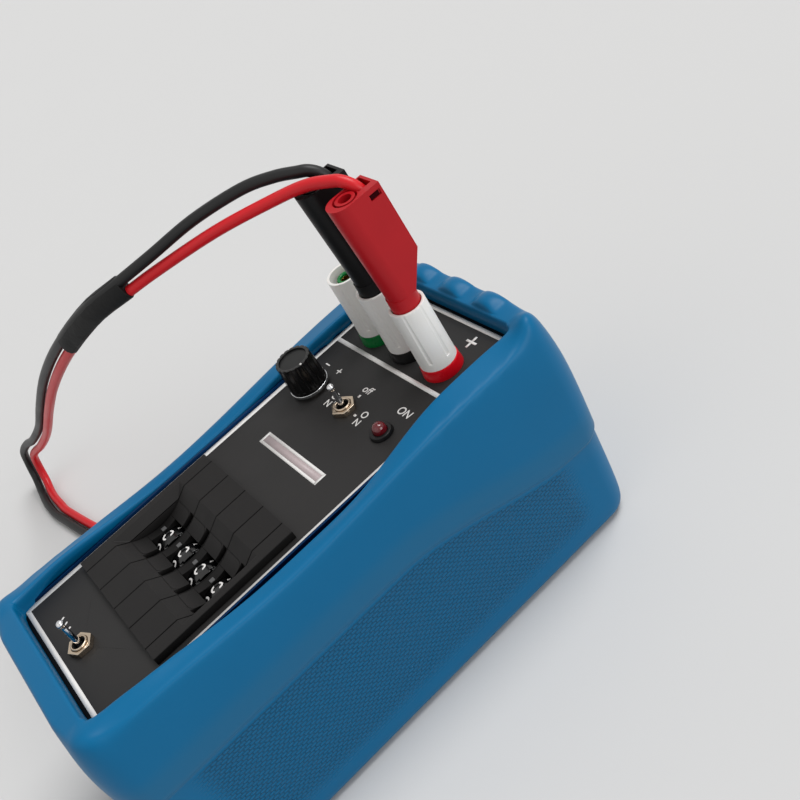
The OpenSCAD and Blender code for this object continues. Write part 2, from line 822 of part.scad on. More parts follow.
module digit_wheel_2() {
  digit_wheel(-1);
}

module digit_wheel_3() {
  digit_wheel(0);
}

module digit_wheel_4() {
  digit_wheel(1);
}

module button_up_1() {
  button(-2, 1);
}

module button_up_2() {
  button(-1, 1);
}

module button_up_3() {
  button(0, 1);
}

module button_up_4() {
  button(1, 1);
}

module button_down_1() {
  button(-2, -1);
}

module button_down_2() {
  button(-1, -1);
}

module button_down_3() {
  button(0, -1);
}

module button_down_4() {
  button(1, -1);
}

module wheel_tie_rods() {
  color("Silver") rods_through(0);
}

// ---- plugs and leads ----

// stackable plug: pin axis on Z, body from z = 0 up, cable side towards +Y
module plug_body() {
  half = plug_w / 2;
  difference() {
    union() {
      intersection() {
        translate([-half, 0, 0]) along_x(plug_w)
          polygon([[-4.6, 0], [3.2, 0], [10.6, 11.5], [9.8, plug_l], [-6.5, plug_l]]);
        translate([0, half - 4.6, 0]) rotate([plug_tilt, 0, 0]) {
          translate([0, 0, -2]) cylinder(r = half, h = plug_l + 4);
          translate([-half, 0, -2]) cube([plug_w, 16, plug_l + 4]);
        }
      }
      translate([0, 0, -neck_l]) cylinder(r = 5, h = neck_l + eps);
    }
    translate([0, 0, -neck_l - 1]) cylinder(r = shroud_in, h = neck_l + 1);
    translate([0, 0, -1]) cylinder(r = pin_r + 0.01, h = 4);
    translate([0, 0, 1]) cylinder(r = liner_r + 0.01, h = plug_l - 7);
    translate([0, 0, plug_l - 7]) cylinder(r = guide_r, h = 10);
    translate([0, 0, plug_l - 13]) difference() {
      cylinder(r = 4.1, h = 20);
      translate([0, 0, -1]) cylinder(r = 3.35, h = 20);
    }
    translate([0, cable_y, plug_l - 10]) cylinder(r = lead_d / 2 + fit_gap, h = 20);
    translate([-4.4, cable_y - lead_d / 2 - 0.6, plug_l - 5])
      cube([4.6 + lead_d / 2, lead_d + 0.8, 10]);
    translate([half - 0.6, 5, plug_l - 3.8]) cube([1, 4, 2]);
  }
}

module plug_pin() {
  difference() {
    union() {
      translate([0, 0, -neck_l - pin_low]) cylinder(r = pin_r, h = neck_l + pin_low + 2);
      translate([0, 0, 1]) cylinder(r = liner_r, h = plug_l - 7);
    }
    translate([0, 0, plug_l - 20]) cylinder(r = socket_r, h = 20);
  }
}

far_z = plug_w / 2;
far_black = [-81.4, 74, far_z];
far_red = [-105.6, 80, far_z];

module plug_red() {
  color("Crimson") translate([term_pitch, term_y, plug_z]) plug_body();
}

module plug_black() {
  color("Black") translate([0, term_y, plug_z]) plug_body();
}

// plug laid on its broad face with the pin towards +Y, cable side s along X
module laid(p, s) {
  translate(p) rotate([-90, 0, 0]) rotate([0, 0, s > 0 ? 90 : -90]) rotate([180, 0, 0])
    children();
}

module plug_black_far() {
  color("Black") laid(far_black, -1) plug_body();
}

module plug_red_far() {
  color("Crimson") laid(far_red, 1) plug_body();
}

module plug_pins() {
  color("Silver") {
    translate([term_pitch, term_y, plug_z]) plug_pin();
    translate([0, term_y, plug_z]) plug_pin();
    laid(far_black, -1) plug_pin();
    laid(far_red, 1) plug_pin();
  }
}

// leads rise out of the plugs' tops, bend over and hang down to the surface they lie on
lead_top = [0, term_y + cable_y, plug_z + plug_l];
lead_bend = 9;
function lead_start(x, u, rise) = concat([lead_top + [x, 0, -10]],
  [for (a = [0:22.5:90]) lead_top + [x, 0, rise - lead_bend]
    + lead_bend * [(1 - cos(a)) * u[0], (1 - cos(a)) * u[1], sin(a)]]);
red_path = concat(lead_start(term_pitch, [-0.88, -0.48], 2.8), [[2, 63, 156.7],
  [-9, 53.4, 154.8], [-24, 38.5, 151.4], [-40, 19.9, 146.2], [-49, 8.2, 142.7],
  [-61, -3, 137.4], [-85, -17.2, 122.1], [-115, -27.3, 101.7], [-148, -35, 78],
  [-182, -42, 53], [-210, -48.5, 35], [-224, -52, 27.3], [-235, -55, 20], [-238.2, -57, 12],
  [-234.5, -59, 5], [-225, -61, 2], [-212, -61, 2], [-200, -60, 2], [-163, -52, 2],
  [-132, -38, 2], [-102.4, -28.7, 2]]);
black_path = concat(lead_start(0, [-0.72, -0.69], 3.6), [[-12, 60.6, 158.8],
  [-19, 51.7, 159.2], [-30, 36.3, 156.4], [-40, 20.8, 151.6], [-50, 7.4, 147],
  [-62.8, -4.2, 141.2], [-87, -18, 126], [-117.2, -28, 105.6], [-150.4, -35.7, 81.6],
  [-184.4, -42.7, 56.6], [-213, -49.5, 38.5], [-229, -53.5, 30.5], [-240, -57.5, 22.5],
  [-243.5, -60, 13.5], [-239.5, -62.5, 5.5], [-230, -65, 2], [-216, -66, 2],
  [-200, -64.6, 2], [-160, -56.4, 2], [-135, -43.8, 2], [-119, -36.9, 4.8],
  [-102.4, -28.7, 6]]);

function spot(P, i) = P[min(len(P) - 1, max(0, i))];
// point at u along a smooth curve through the points
function curve(P, u) =
  let (i = min(len(P) - 2, floor(u)), s = u - i, a = spot(P, i - 1), b = P[i],
    c = P[i + 1], d = spot(P, i + 2))
  0.5 * (2 * b + (c - a) * s + (2 * a - 5 * b + 4 * c - d) * s * s
    + (3 * b - a - 3 * c + d) * s * s * s);
function unit(v) = v / norm(v);
function heading(P, u) = unit(curve(P, min(len(P) - 1, u + 0.05)) - curve(P, max(0, u - 0.05)));

// round tube along a path, two rings to each point
module sweep(P, rx, ry, u0, u1, steps, sides) {
  pts = [for (k = [0:steps]) let (u = u0 + (u1 - u0) * k / steps, m = curve(P, u),
      c = [m[0], m[1], max(m[2], lead_d / 2)], t = heading(P, u), e = unit(cross(t, [0, 1, 0])), n = cross(e, t))
    for (a = [0:sides - 1]) c + rx * cos(360 * a / sides) * e + ry * sin(360 * a / sides) * n];
  polyhedron(points = pts, convexity = 6, faces = concat(
    [[for (a = [sides - 1:-1:0]) a]],
    [for (k = [0:steps - 1], a = [0:sides - 1]) let (b = (a + 1) % sides)
      [k * sides + a, k * sides + b, (k + 1) * sides + b]],
    [for (k = [0:steps - 1], a = [0:sides - 1]) let (b = (a + 1) % sides)
      [k * sides + a, (k + 1) * sides + b, (k + 1) * sides + a]],
    [[for (a = [0:sides - 1]) steps * sides + a]]));
}

module lead(P) {
  sweep(P, lead_d / 2, lead_d / 2, 0, len(P) - 1, 2 * len(P) - 2, 8);
}

module lead_red() {
  color("Red") lead(red_path);
}

module lead_black() {
  color("Black") lead(black_path);
}

sleeve_path = [for (i = [9:14]) (red_path[i] + black_path[i]) / 2];

module lead_sleeve() {
  color("DimGray") sweep(sleeve_path, 4.6, 2.9, 0.9, 2.8, 6, 12);
}

coil_at = [-109, -4, 0];
coil_r = 22;
coil_h = 16;
coil_w = 12;

module lead_coil() {
  color("Firebrick") {
    translate(coil_at) rotate_extrude($fn = 96)
      translate([coil_r - coil_w / 2, 0]) square([coil_w, coil_h]);
    for (p = [[far_black, -1], [far_red, 1]]) {
      x = p[0][0] + p[1] * cable_y;
      dy = sqrt(max(0, pow(coil_r + 2, 2) - pow(x - coil_at[0], 2)));
      translate([x, coil_at[1] + dy, far_z]) rotate([-90, 0, 0])
        cylinder(r = lead_d / 2, h = p[0][1] - plug_l + 10 - coil_at[1] - dy);
    }
  }
}

boot();
case_channel();
end_plates();
end_screws();
front_panel();
battery_holder();
battery_contacts();
battery_cells();
circuit_board();
board_components();
wheel_cap_left();
wheel_cap_right();
wheel_housing_1();
wheel_housing_2();
wheel_housing_3();
wheel_housing_4();
digit_wheel_1();
digit_wheel_2();
digit_wheel_3();
digit_wheel_4();
button_up_1();
button_up_2();
button_up_3();
button_up_4();
button_down_1();
button_down_2();
button_down_3();
button_down_4();
wheel_tie_rods();
terminal_posts();
terminal_base_green();
terminal_base_black();
terminal_base_red();
terminal_insert_green();
terminal_insert_black();
terminal_insert_red();
terminal_cap_green();
terminal_cap_black();
terminal_cap_red();
terminal_nuts();
toggle_bodies();
toggle_nuts();
toggle_lever_1();
toggle_lever_2();
knob();
knob_cap();
knob_ring();
potentiometer();
pot_shaft();
led();
led_clip();
plug_red();
plug_black();
plug_pins();
plug_red_far();
plug_black_far();
lead_red();
lead_black();
lead_sleeve();
lead_coil();
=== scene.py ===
"""Multi-function calibrator in an elastic boot, dressed around its fixed CAD frame."""

import math

import bmesh
import bpy
from bpy.props import FloatProperty, FloatVectorProperty, PointerProperty
from mathutils import Matrix, Vector


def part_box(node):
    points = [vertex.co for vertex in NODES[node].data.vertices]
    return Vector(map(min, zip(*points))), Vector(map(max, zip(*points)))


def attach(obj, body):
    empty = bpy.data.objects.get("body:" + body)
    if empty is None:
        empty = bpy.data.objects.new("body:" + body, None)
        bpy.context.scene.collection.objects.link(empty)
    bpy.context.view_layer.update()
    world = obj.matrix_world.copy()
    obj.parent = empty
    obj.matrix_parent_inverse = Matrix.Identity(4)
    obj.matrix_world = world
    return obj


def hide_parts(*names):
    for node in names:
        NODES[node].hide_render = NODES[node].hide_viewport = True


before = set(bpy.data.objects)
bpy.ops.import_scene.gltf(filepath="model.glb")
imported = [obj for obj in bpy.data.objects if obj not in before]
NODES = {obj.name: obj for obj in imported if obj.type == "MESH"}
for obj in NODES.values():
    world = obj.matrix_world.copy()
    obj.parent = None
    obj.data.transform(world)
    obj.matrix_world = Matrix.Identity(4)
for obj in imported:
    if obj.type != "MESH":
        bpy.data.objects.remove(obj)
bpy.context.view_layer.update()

bl_info = {
    "name": "Multi-function calibrator",
    "version": (1, 0, 0),
    "blender": (4, 5, 0),
    "location": "3D View > Sidebar > Calibrator",
    "description": "Finishes, printed marks, digit wheels, leads and stage of the calibrator",
    "category": "Object",
}

MM = 0.001

# Camera of the photograph, in the part's own frame
EYE = (0.3023, -0.03654, 0.30664)
EYE_RIGHT = (0.54905, 0.71704, -0.42942)
EYE_UP = (-0.33088, 0.65829, 0.67614)
EYE_BACK = (0.76750, -0.22915, 0.59869)
LENS = 51.85
SHIFT = (-0.0025, -0.000625)



def box_mm(name):
    """Lowest and highest corner of a CAD node, in millimetres."""
    return [Vector(corner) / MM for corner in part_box(name)]


def eased(value, low, high):
    """Smooth step from 0 to 1 between two values."""
    u = min(1, max(0, (value - low) / (high - low)))
    return u * u * (3 - 2 * u)


# Places on the panel, in millimetres
PANEL_HIGH = box_mm("front_panel")[1]
PANEL_Z = PANEL_HIGH.z
TERMINAL_Y = 65.8
TERMINAL_PITCH = 19.05
ROW_Y = 35.4
RANGE_Y = -76.0
KNOB_X = -22.7
LAMP_X = 22.7

# Printed lines across the panel, and the frame of its blank label, in millimetres
LINE_TOP, LINE_TERMINALS, LINE_LOW = 84.2, 56, -84.1
LABEL_MIDDLE = (-0.15, 11.35)
LABEL_SIZE = (38.3, 4.9)
LABEL_RIM = 1.05

# Ledge of the boot, in millimetres: it falls from high to low between two places along the boot
LEDGE_HIGH, LEDGE_LOW = 56, 39
LEDGE_START, LEDGE_END = 10, 84
LEDGE_STEP = 0.8

# A height just under the boot's lip over the panel's edge, in millimetres
UNDER_LIP = 81.5

# Seat of the levers' balls and foot of the lamp's lens below the panel's face, in millimetres
PIVOT_DEPTH = 2
LENS_DEPTH = 2.9


def linear(code):
    """Linear colour with alpha of an sRGB hex value."""
    parts = [int(code[i : i + 2], 16) / 255 for i in (1, 3, 5)]
    return [p / 12.92 if p <= 0.04045 else ((p + 0.055) / 1.055) ** 2.4 for p in parts] + [1.0]


def colour(name, description, code):
    """A colour that a user may change."""
    return FloatVectorProperty(
        name=name, description=description, subtype="COLOR", size=4, min=0, max=1, default=linear(code)
    )


def length(name, description, millimetres):
    """A size that a user may change."""
    return FloatProperty(
        name=name, description=description, default=millimetres * MM, min=0, precision=5, unit="LENGTH"
    )


class CalibratorColours(bpy.types.PropertyGroup):
    """Colours of the calibrator's finishes."""

    boot: colour("Boot", "Blue of the elastic boot", "#005f8c")
    # The boot's second colour is painted light: a paler band on the shoulder above the grip, where light
    # catches it
    boot_bloom: colour("Boot bloom", "Painted light: paler blue of the shoulder above the grip", "#235f82")
    panel: colour("Panel", "Charcoal powder coat of the panel", "#1e1d1d")
    ink: colour("Print", "White screen print", "#dcdad8")
    label: colour("Label", "Blank label", "#b0a2a3")
    navy: colour("Case", "Navy anodised extrusion", "#0d2f57")
    black_metal: colour("End plates", "Black anodised plates and sleeve", "#151517")
    block: colour("Thumbwheel block", "Charcoal moulding of the thumbwheels", "#201f1f")
    wheel: colour("Digit wheels", "Gloss black digit wheels", "#060607")
    tab: colour("Index tabs", "Grey index beside each window", "#4a4a4b")
    knob: colour("Knob", "Gloss black knob", "#050506")
    knob_disc: colour("Knob disc", "Grey inset in the knob", "#171818")
    cap: colour("Terminal caps", "White screw caps of the terminals", "#e9e6e2")
    green: colour("Green collar", "Green terminal", "#006b30")
    black: colour("Black collar", "Black terminal and black plug", "#070708")
    red: colour("Red collar", "Red terminal", "#cb0719")
    plug_red: colour("Red plug", "Red stackable plug", "#a8101a")
    lead_red: colour("Red lead", "Insulation of the red lead", "#c8121d")
    lead_black: colour("Black lead", "Insulation of the black lead", "#111112")
    ink_dim: colour("Dim print", "Part of the digits that takes no light", "#262627")
    lamp: colour("Lamp", "Dark red lens of the lamp", "#5c0410")


class CalibratorSizes(bpy.types.PropertyGroup):
    """Sizes of the printed marks and of the leads."""

    side_line: length("Side line", "Width of the printed lines along the sides", 2.1)
    end_line: length("Cross line", "Width of the printed lines across the panel", 1.7)
    ink_depth: length("Ink", "Thickness of the screen print", 0.04)
    word: length("Word height", "Height of the small words", 3.1)
    digit: length("Digit height", "Height of the digits on the wheels", 4.7)
    lead: length("Lead", "Outside diameter of each lead", 4.0)
    edge: length("Moulded edge", "Usual radius of a moulded edge", 0.25)


def colours():
    """The colours in use."""
    return bpy.context.scene.calibrator_colours


def sizes():
    """The sizes in use."""
    return bpy.context.scene.calibrator_sizes


def add(tree, kind, inputs=None, **settings):
    """Adds a node with its settings, each input given a value or a link."""
    made = tree.nodes.new(kind)
    for key, value in settings.items():
        setattr(made, key, value)
    for key, value in (inputs or {}).items():
        if isinstance(value, bpy.types.NodeSocket):
            tree.links.new(value, made.inputs[key])
        else:
            made.inputs[key].default_value = value
    return made


def toned(value, factor):
    """A colour made lighter or darker."""
    return [min(1.0, c * factor) for c in value[:3]] + [1.0]


def surface(name, base, rough, grain=0.5, relief=0.02, tone=0.08, cloud=14.0, spread=0.06, **shader):
    """A finish with soft clouds of tone and gloss and a fine grain, its sizes in millimetres."""
    material = bpy.data.materials.new(name)
    material.use_nodes = True
    tree = material.node_tree
    tree.nodes.clear()
    place = add(tree, "ShaderNodeTexCoord").outputs["Object"]
    clouds = add(tree, "ShaderNodeTexNoise", {"Vector": place, "Scale": 1 / (cloud * MM), "Detail": 5.0})
    tint = add(
        tree,
        "ShaderNodeMix",
        {0: clouds.outputs["Fac"], 6: toned(base, 1 - tone), 7: toned(base, 1 + tone)},
        data_type="RGBA",
    )
    gloss = add(
        tree,
        "ShaderNodeMapRange",
        {
            "Value": clouds.outputs["Fac"],
            "From Min": 0.3,
            "From Max": 0.7,
            "To Min": max(0.02, rough - spread),
            "To Max": rough + spread,
        },
    )
    grains = add(
        tree, "ShaderNodeTexNoise", {"Vector": place, "Scale": 1 / (grain * MM), "Detail": 2.0}
    )
    bump = add(
        tree,
        "ShaderNodeBump",
        {"Strength": 1.0, "Distance": relief * MM, "Height": grains.outputs["Fac"]},
    )
    bsdf = add(
        tree,
        "ShaderNodeBsdfPrincipled",
        {
            "Base Color": tint.outputs[2],
            "Roughness": gloss.outputs["Result"],
            "Normal": bump.outputs["Normal"],
            **{key.replace("_", " "): value for key, value in shader.items()},
        },
    )
    output = add(tree, "ShaderNodeOutputMaterial", {"Surface": bsdf.outputs["BSDF"]})
    output.is_active_output = True
    return material


def part_of(material, kind, last=False):
    """A node of that kind in a finish, the first made or the last."""
    found = [n for n in material.node_tree.nodes if n.bl_idname == kind]
    return found[-1 if last else 0]


FINISHES = {}


def finish(name):
    """The finish of that name, made once."""
    if name not in FINISHES:
        FINISHES[name] = MAKERS[name](colours())
    return FINISHES[name]


def moulded_elastomer(c):
    """Elastic boot moulding: satin, a fine spark texture, a paler band of painted light on the shoulder
    above the ledge and rows of short raised dashes below the ledge, with painted shade between them."""
    material = surface(
        "Moulded elastomer, blue", c.boot, 0.4, 0.9, 0.012, 0.05, 26, 0.05, Specular_IOR_Level=0.18
    )
    tree = material.node_tree
    bsdf = part_of(material, "ShaderNodeBsdfPrincipled")
    bump = part_of(material, "ShaderNodeBump")
    tint = part_of(material, "ShaderNodeMix")
    place = part_of(material, "ShaderNodeTexCoord").outputs["Object"]
    axes = add(tree, "ShaderNodeSeparateXYZ", {"Vector": place})
    across, along, up = (axes.outputs[k] for k in "XYZ")
    # Height above the ledge, which falls smoothly along the boot
    ledge = add(
        tree,
        "ShaderNodeMapRange",
        {
            "Value": along,
            "From Min": LEDGE_START * MM,
            "From Max": LEDGE_END * MM,
            "To Min": LEDGE_HIGH * MM,
            "To Max": LEDGE_LOW * MM,
        },
        interpolation_type="SMOOTHSTEP",
    )
    above = add(tree, "ShaderNodeMath", {0: up, 1: ledge.outputs["Result"]}, operation="SUBTRACT")
    above = above.outputs[0]
    # Painted light: a paler band lies on the lowest 7 mm above the ledge and is gone 15 mm above it
    painted_light = add(
        tree,
        "ShaderNodeMapRange",
        {"Value": above, "From Min": 0.015, "From Max": 0.007, "To Min": 0.0, "To Max": 0.45},
        interpolation_type="SMOOTHSTEP",
    )
    over = add(tree, "ShaderNodeMath", {0: above, 1: -0.0006}, operation="GREATER_THAN").outputs[0]
    amount = add(tree, "ShaderNodeMath", {0: painted_light.outputs["Result"], 1: over}, operation="MULTIPLY")
    with_painted_light = add(
        tree,
        "ShaderNodeMix",
        {0: amount.outputs[0], 6: tint.outputs[2], 7: c.boot_bloom},
        data_type="RGBA",
    )
    # Grip: dashes 2 mm long in rows 1.25 mm apart, from the ledge down, fading out from 16 to 7 mm
    # above the back and from 70 to 80 mm along the boot
    run = add(tree, "ShaderNodeMath", {0: across, 1: along}, operation="ADD").outputs[0]
    flat = add(tree, "ShaderNodeCombineXYZ", {"X": run, "Y": up})
    rows = add(
        tree,
        "ShaderNodeTexBrick",
        {
            "Vector": flat.outputs[0],
            "Color1": (1, 1, 1, 1),
            "Color2": (0.75, 0.75, 0.75, 1),
            "Mortar": (0, 0, 0, 1),
            "Scale": 1.0,
            "Mortar Size": 0.00036,
            "Mortar Smooth": 1.0,
            "Bias": 0.0,
            "Brick Width": 0.0024,
            "Row Height": 0.00125,
        },
        offset=0.5,
    )
    under = add(
        tree,
        "ShaderNodeMapRange",
        {"Value": above, "From Min": -0.0012, "From Max": -0.0022},
        interpolation_type="SMOOTHSTEP",
    )
    foot = add(
        tree,
        "ShaderNodeMapRange",
        {"Value": up, "From Min": 0.007, "From Max": 0.016},
        interpolation_type="SMOOTHSTEP",
    )
    ends = add(tree, "ShaderNodeMath", {0: along}, operation="ABSOLUTE")
    middle = add(
        tree,
        "ShaderNodeMapRange",
        {"Value": ends.outputs[0], "From Min": 0.080, "From Max": 0.070},
        interpolation_type="SMOOTHSTEP",
    )
    field = add(
        tree,
        "ShaderNodeMath",
        {0: under.outputs["Result"], 1: foot.outputs["Result"]},
        operation="MULTIPLY",
    )
    field = add(
        tree, "ShaderNodeMath", {0: field.outputs[0], 1: middle.outputs["Result"]}, operation="MULTIPLY"
    )
    dashes = add(
        tree, "ShaderNodeMath", {0: rows.outputs["Color"], 1: field.outputs[0]}, operation="MULTIPLY"
    )
    grip = add(
        tree,
        "ShaderNodeBump",
        {
            "Strength": 1.0,
            "Distance": 0.0003,
            "Height": dashes.outputs[0],
            "Normal": bump.outputs["Normal"],
        },
    )
    # Between the dashes less light comes back, so the furrows are darker
    furrow = add(
        tree,
        "ShaderNodeMath",
        {0: field.outputs[0], 1: dashes.outputs[0]},
        operation="SUBTRACT",
    )
    shaded = add(
        tree,
        "ShaderNodeMix",
        {0: furrow.outputs[0], 6: with_painted_light.outputs[2], 7: toned(c.boot, 0.62)},
        data_type="RGBA",
    )
    tree.links.new(shaded.outputs[2], bsdf.inputs["Base Color"])
    tree.links.new(grip.outputs["Normal"], bsdf.inputs["Normal"])
    return material


def seamed_block(c):
    """Moulded ABS of the thumbwheels: charcoal, spark-eroded, with painted shade in seams, recess and
    outer sides.
    """
    material = surface(
        "Moulded ABS, charcoal", c.block, 0.5, 0.45, 0.012, 0.06, 8, Specular_IOR_Level=0.12
    )
    tree = material.node_tree
    coordinates = part_of(material, "ShaderNodeTexCoord")
    axes = add(tree, "ShaderNodeSeparateXYZ", {"Vector": coordinates.outputs["Object"]})
    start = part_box("wheel_housing_1")[0][0]
    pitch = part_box("wheel_housing_2")[0][0] - start
    along = add(tree, "ShaderNodeMath", {0: axes.outputs["X"], 1: start}, operation="SUBTRACT")
    away = add(tree, "ShaderNodeMath", {0: along.outputs[0], 1: pitch / 2}, operation="PINGPONG")
    # The seam looks 0.5 mm wide, and no light comes back from it
    seam = add(
        tree,
        "ShaderNodeMapRange",
        {"Value": away.outputs[0], "From Min": 0.00032, "From Max": 0.0002},
        interpolation_type="SMOOTHSTEP",
    )
    # A seam is seen from above, not on the flat sides that meet in it
    facing = add(tree, "ShaderNodeSeparateXYZ", {"Vector": coordinates.outputs["Normal"]})
    level = add(tree, "ShaderNodeMath", {0: facing.outputs["X"]}, operation="ABSOLUTE")
    level = add(tree, "ShaderNodeMath", {0: level.outputs[0], 1: 0.8}, operation="LESS_THAN")
    seam = add(
        tree, "ShaderNodeMath", {0: seam.outputs["Result"], 1: level.outputs[0]}, operation="MULTIPLY"
    )
    # Painted shade: down in the recess the moulding is painted darker, from 0.5 to 3 mm under the
    # panel's face
    recess_painted_shade = add(
        tree,
        "ShaderNodeMapRange",
        {
            "Value": axes.outputs["Z"],
            "From Min": PANEL_Z * MM - 0.0005,
            "From Max": PANEL_Z * MM - 0.003,
        },
    )
    # Painted shade also on the outer sides of the end caps
    apart = add(tree, "ShaderNodeMath", {0: axes.outputs["X"]}, operation="ABSOLUTE")
    edge = min(-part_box("wheel_cap_left")[0][0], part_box("wheel_cap_right")[1][0]) - 0.0003
    outer = add(tree, "ShaderNodeMath", {0: apart.outputs[0], 1: edge}, operation="GREATER_THAN")
    deep = add(
        tree, "ShaderNodeMath", {0: recess_painted_shade.outputs["Result"], 1: outer.outputs[0]}, operation="MAXIMUM"
    )
    tint = part_of(material, "ShaderNodeMix")
    shade = add(
        tree,
        "ShaderNodeMix",
        {0: deep.outputs[0], 6: tint.outputs[2], 7: toned(c.block, 0.3)},
        data_type="RGBA",
    )
    dark = add(
        tree,
        "ShaderNodeMix",
        {0: seam.outputs[0], 6: shade.outputs[2], 7: (0, 0, 0, 1)},
        data_type="RGBA",
    )
    bsdf = part_of(material, "ShaderNodeBsdfPrincipled")
    tree.links.new(dark.outputs[2], bsdf.inputs["Base Color"])
    tree.links.new(seam.outputs[0], bsdf.inputs["Metallic"])
    return material


def brushed_metal(name, base, rough, line, relief, axis, **shader):
    """Metal with fine lines left by brushing or drawing along one axis, sizes in millimetres."""
    material = surface(name, base, rough, line, relief, 0.05, 9, 0.05, Metallic=1.0, **shader)
    tree = material.node_tree
    grains = part_of(material, "ShaderNodeTexNoise", last=True)
    place = part_of(material, "ShaderNodeTexCoord").outputs["Object"]
    stretch = [1.0, 1.0, 1.0]
    stretch["XYZ".index(axis)] = 0.03
    drawn = add(tree, "ShaderNodeMapping", {"Vector": place, "Scale": stretch})
    tree.links.new(drawn.outputs["Vector"], grains.inputs["Vector"])
    return material


def lamp_lens(c):
    """Tinted epoxy lens: clear gloss over a deep red body, which glows a little where it is thin."""
    material = surface("Tinted epoxy, dark red", c.lamp, 0.10, 0.6, 0.002, 0.15, 3, 0.03, IOR=1.53)
    bsdf = part_of(material, "ShaderNodeBsdfPrincipled")
    bsdf.inputs["Coat Weight"].default_value = 0.3
    bsdf.inputs["Coat Roughness"].default_value = 0.04
    bsdf.inputs["Subsurface Weight"].default_value = 0.1
    bsdf.inputs["Subsurface Radius"].default_value = (0.003, 0.0004, 0.0003)
    return material


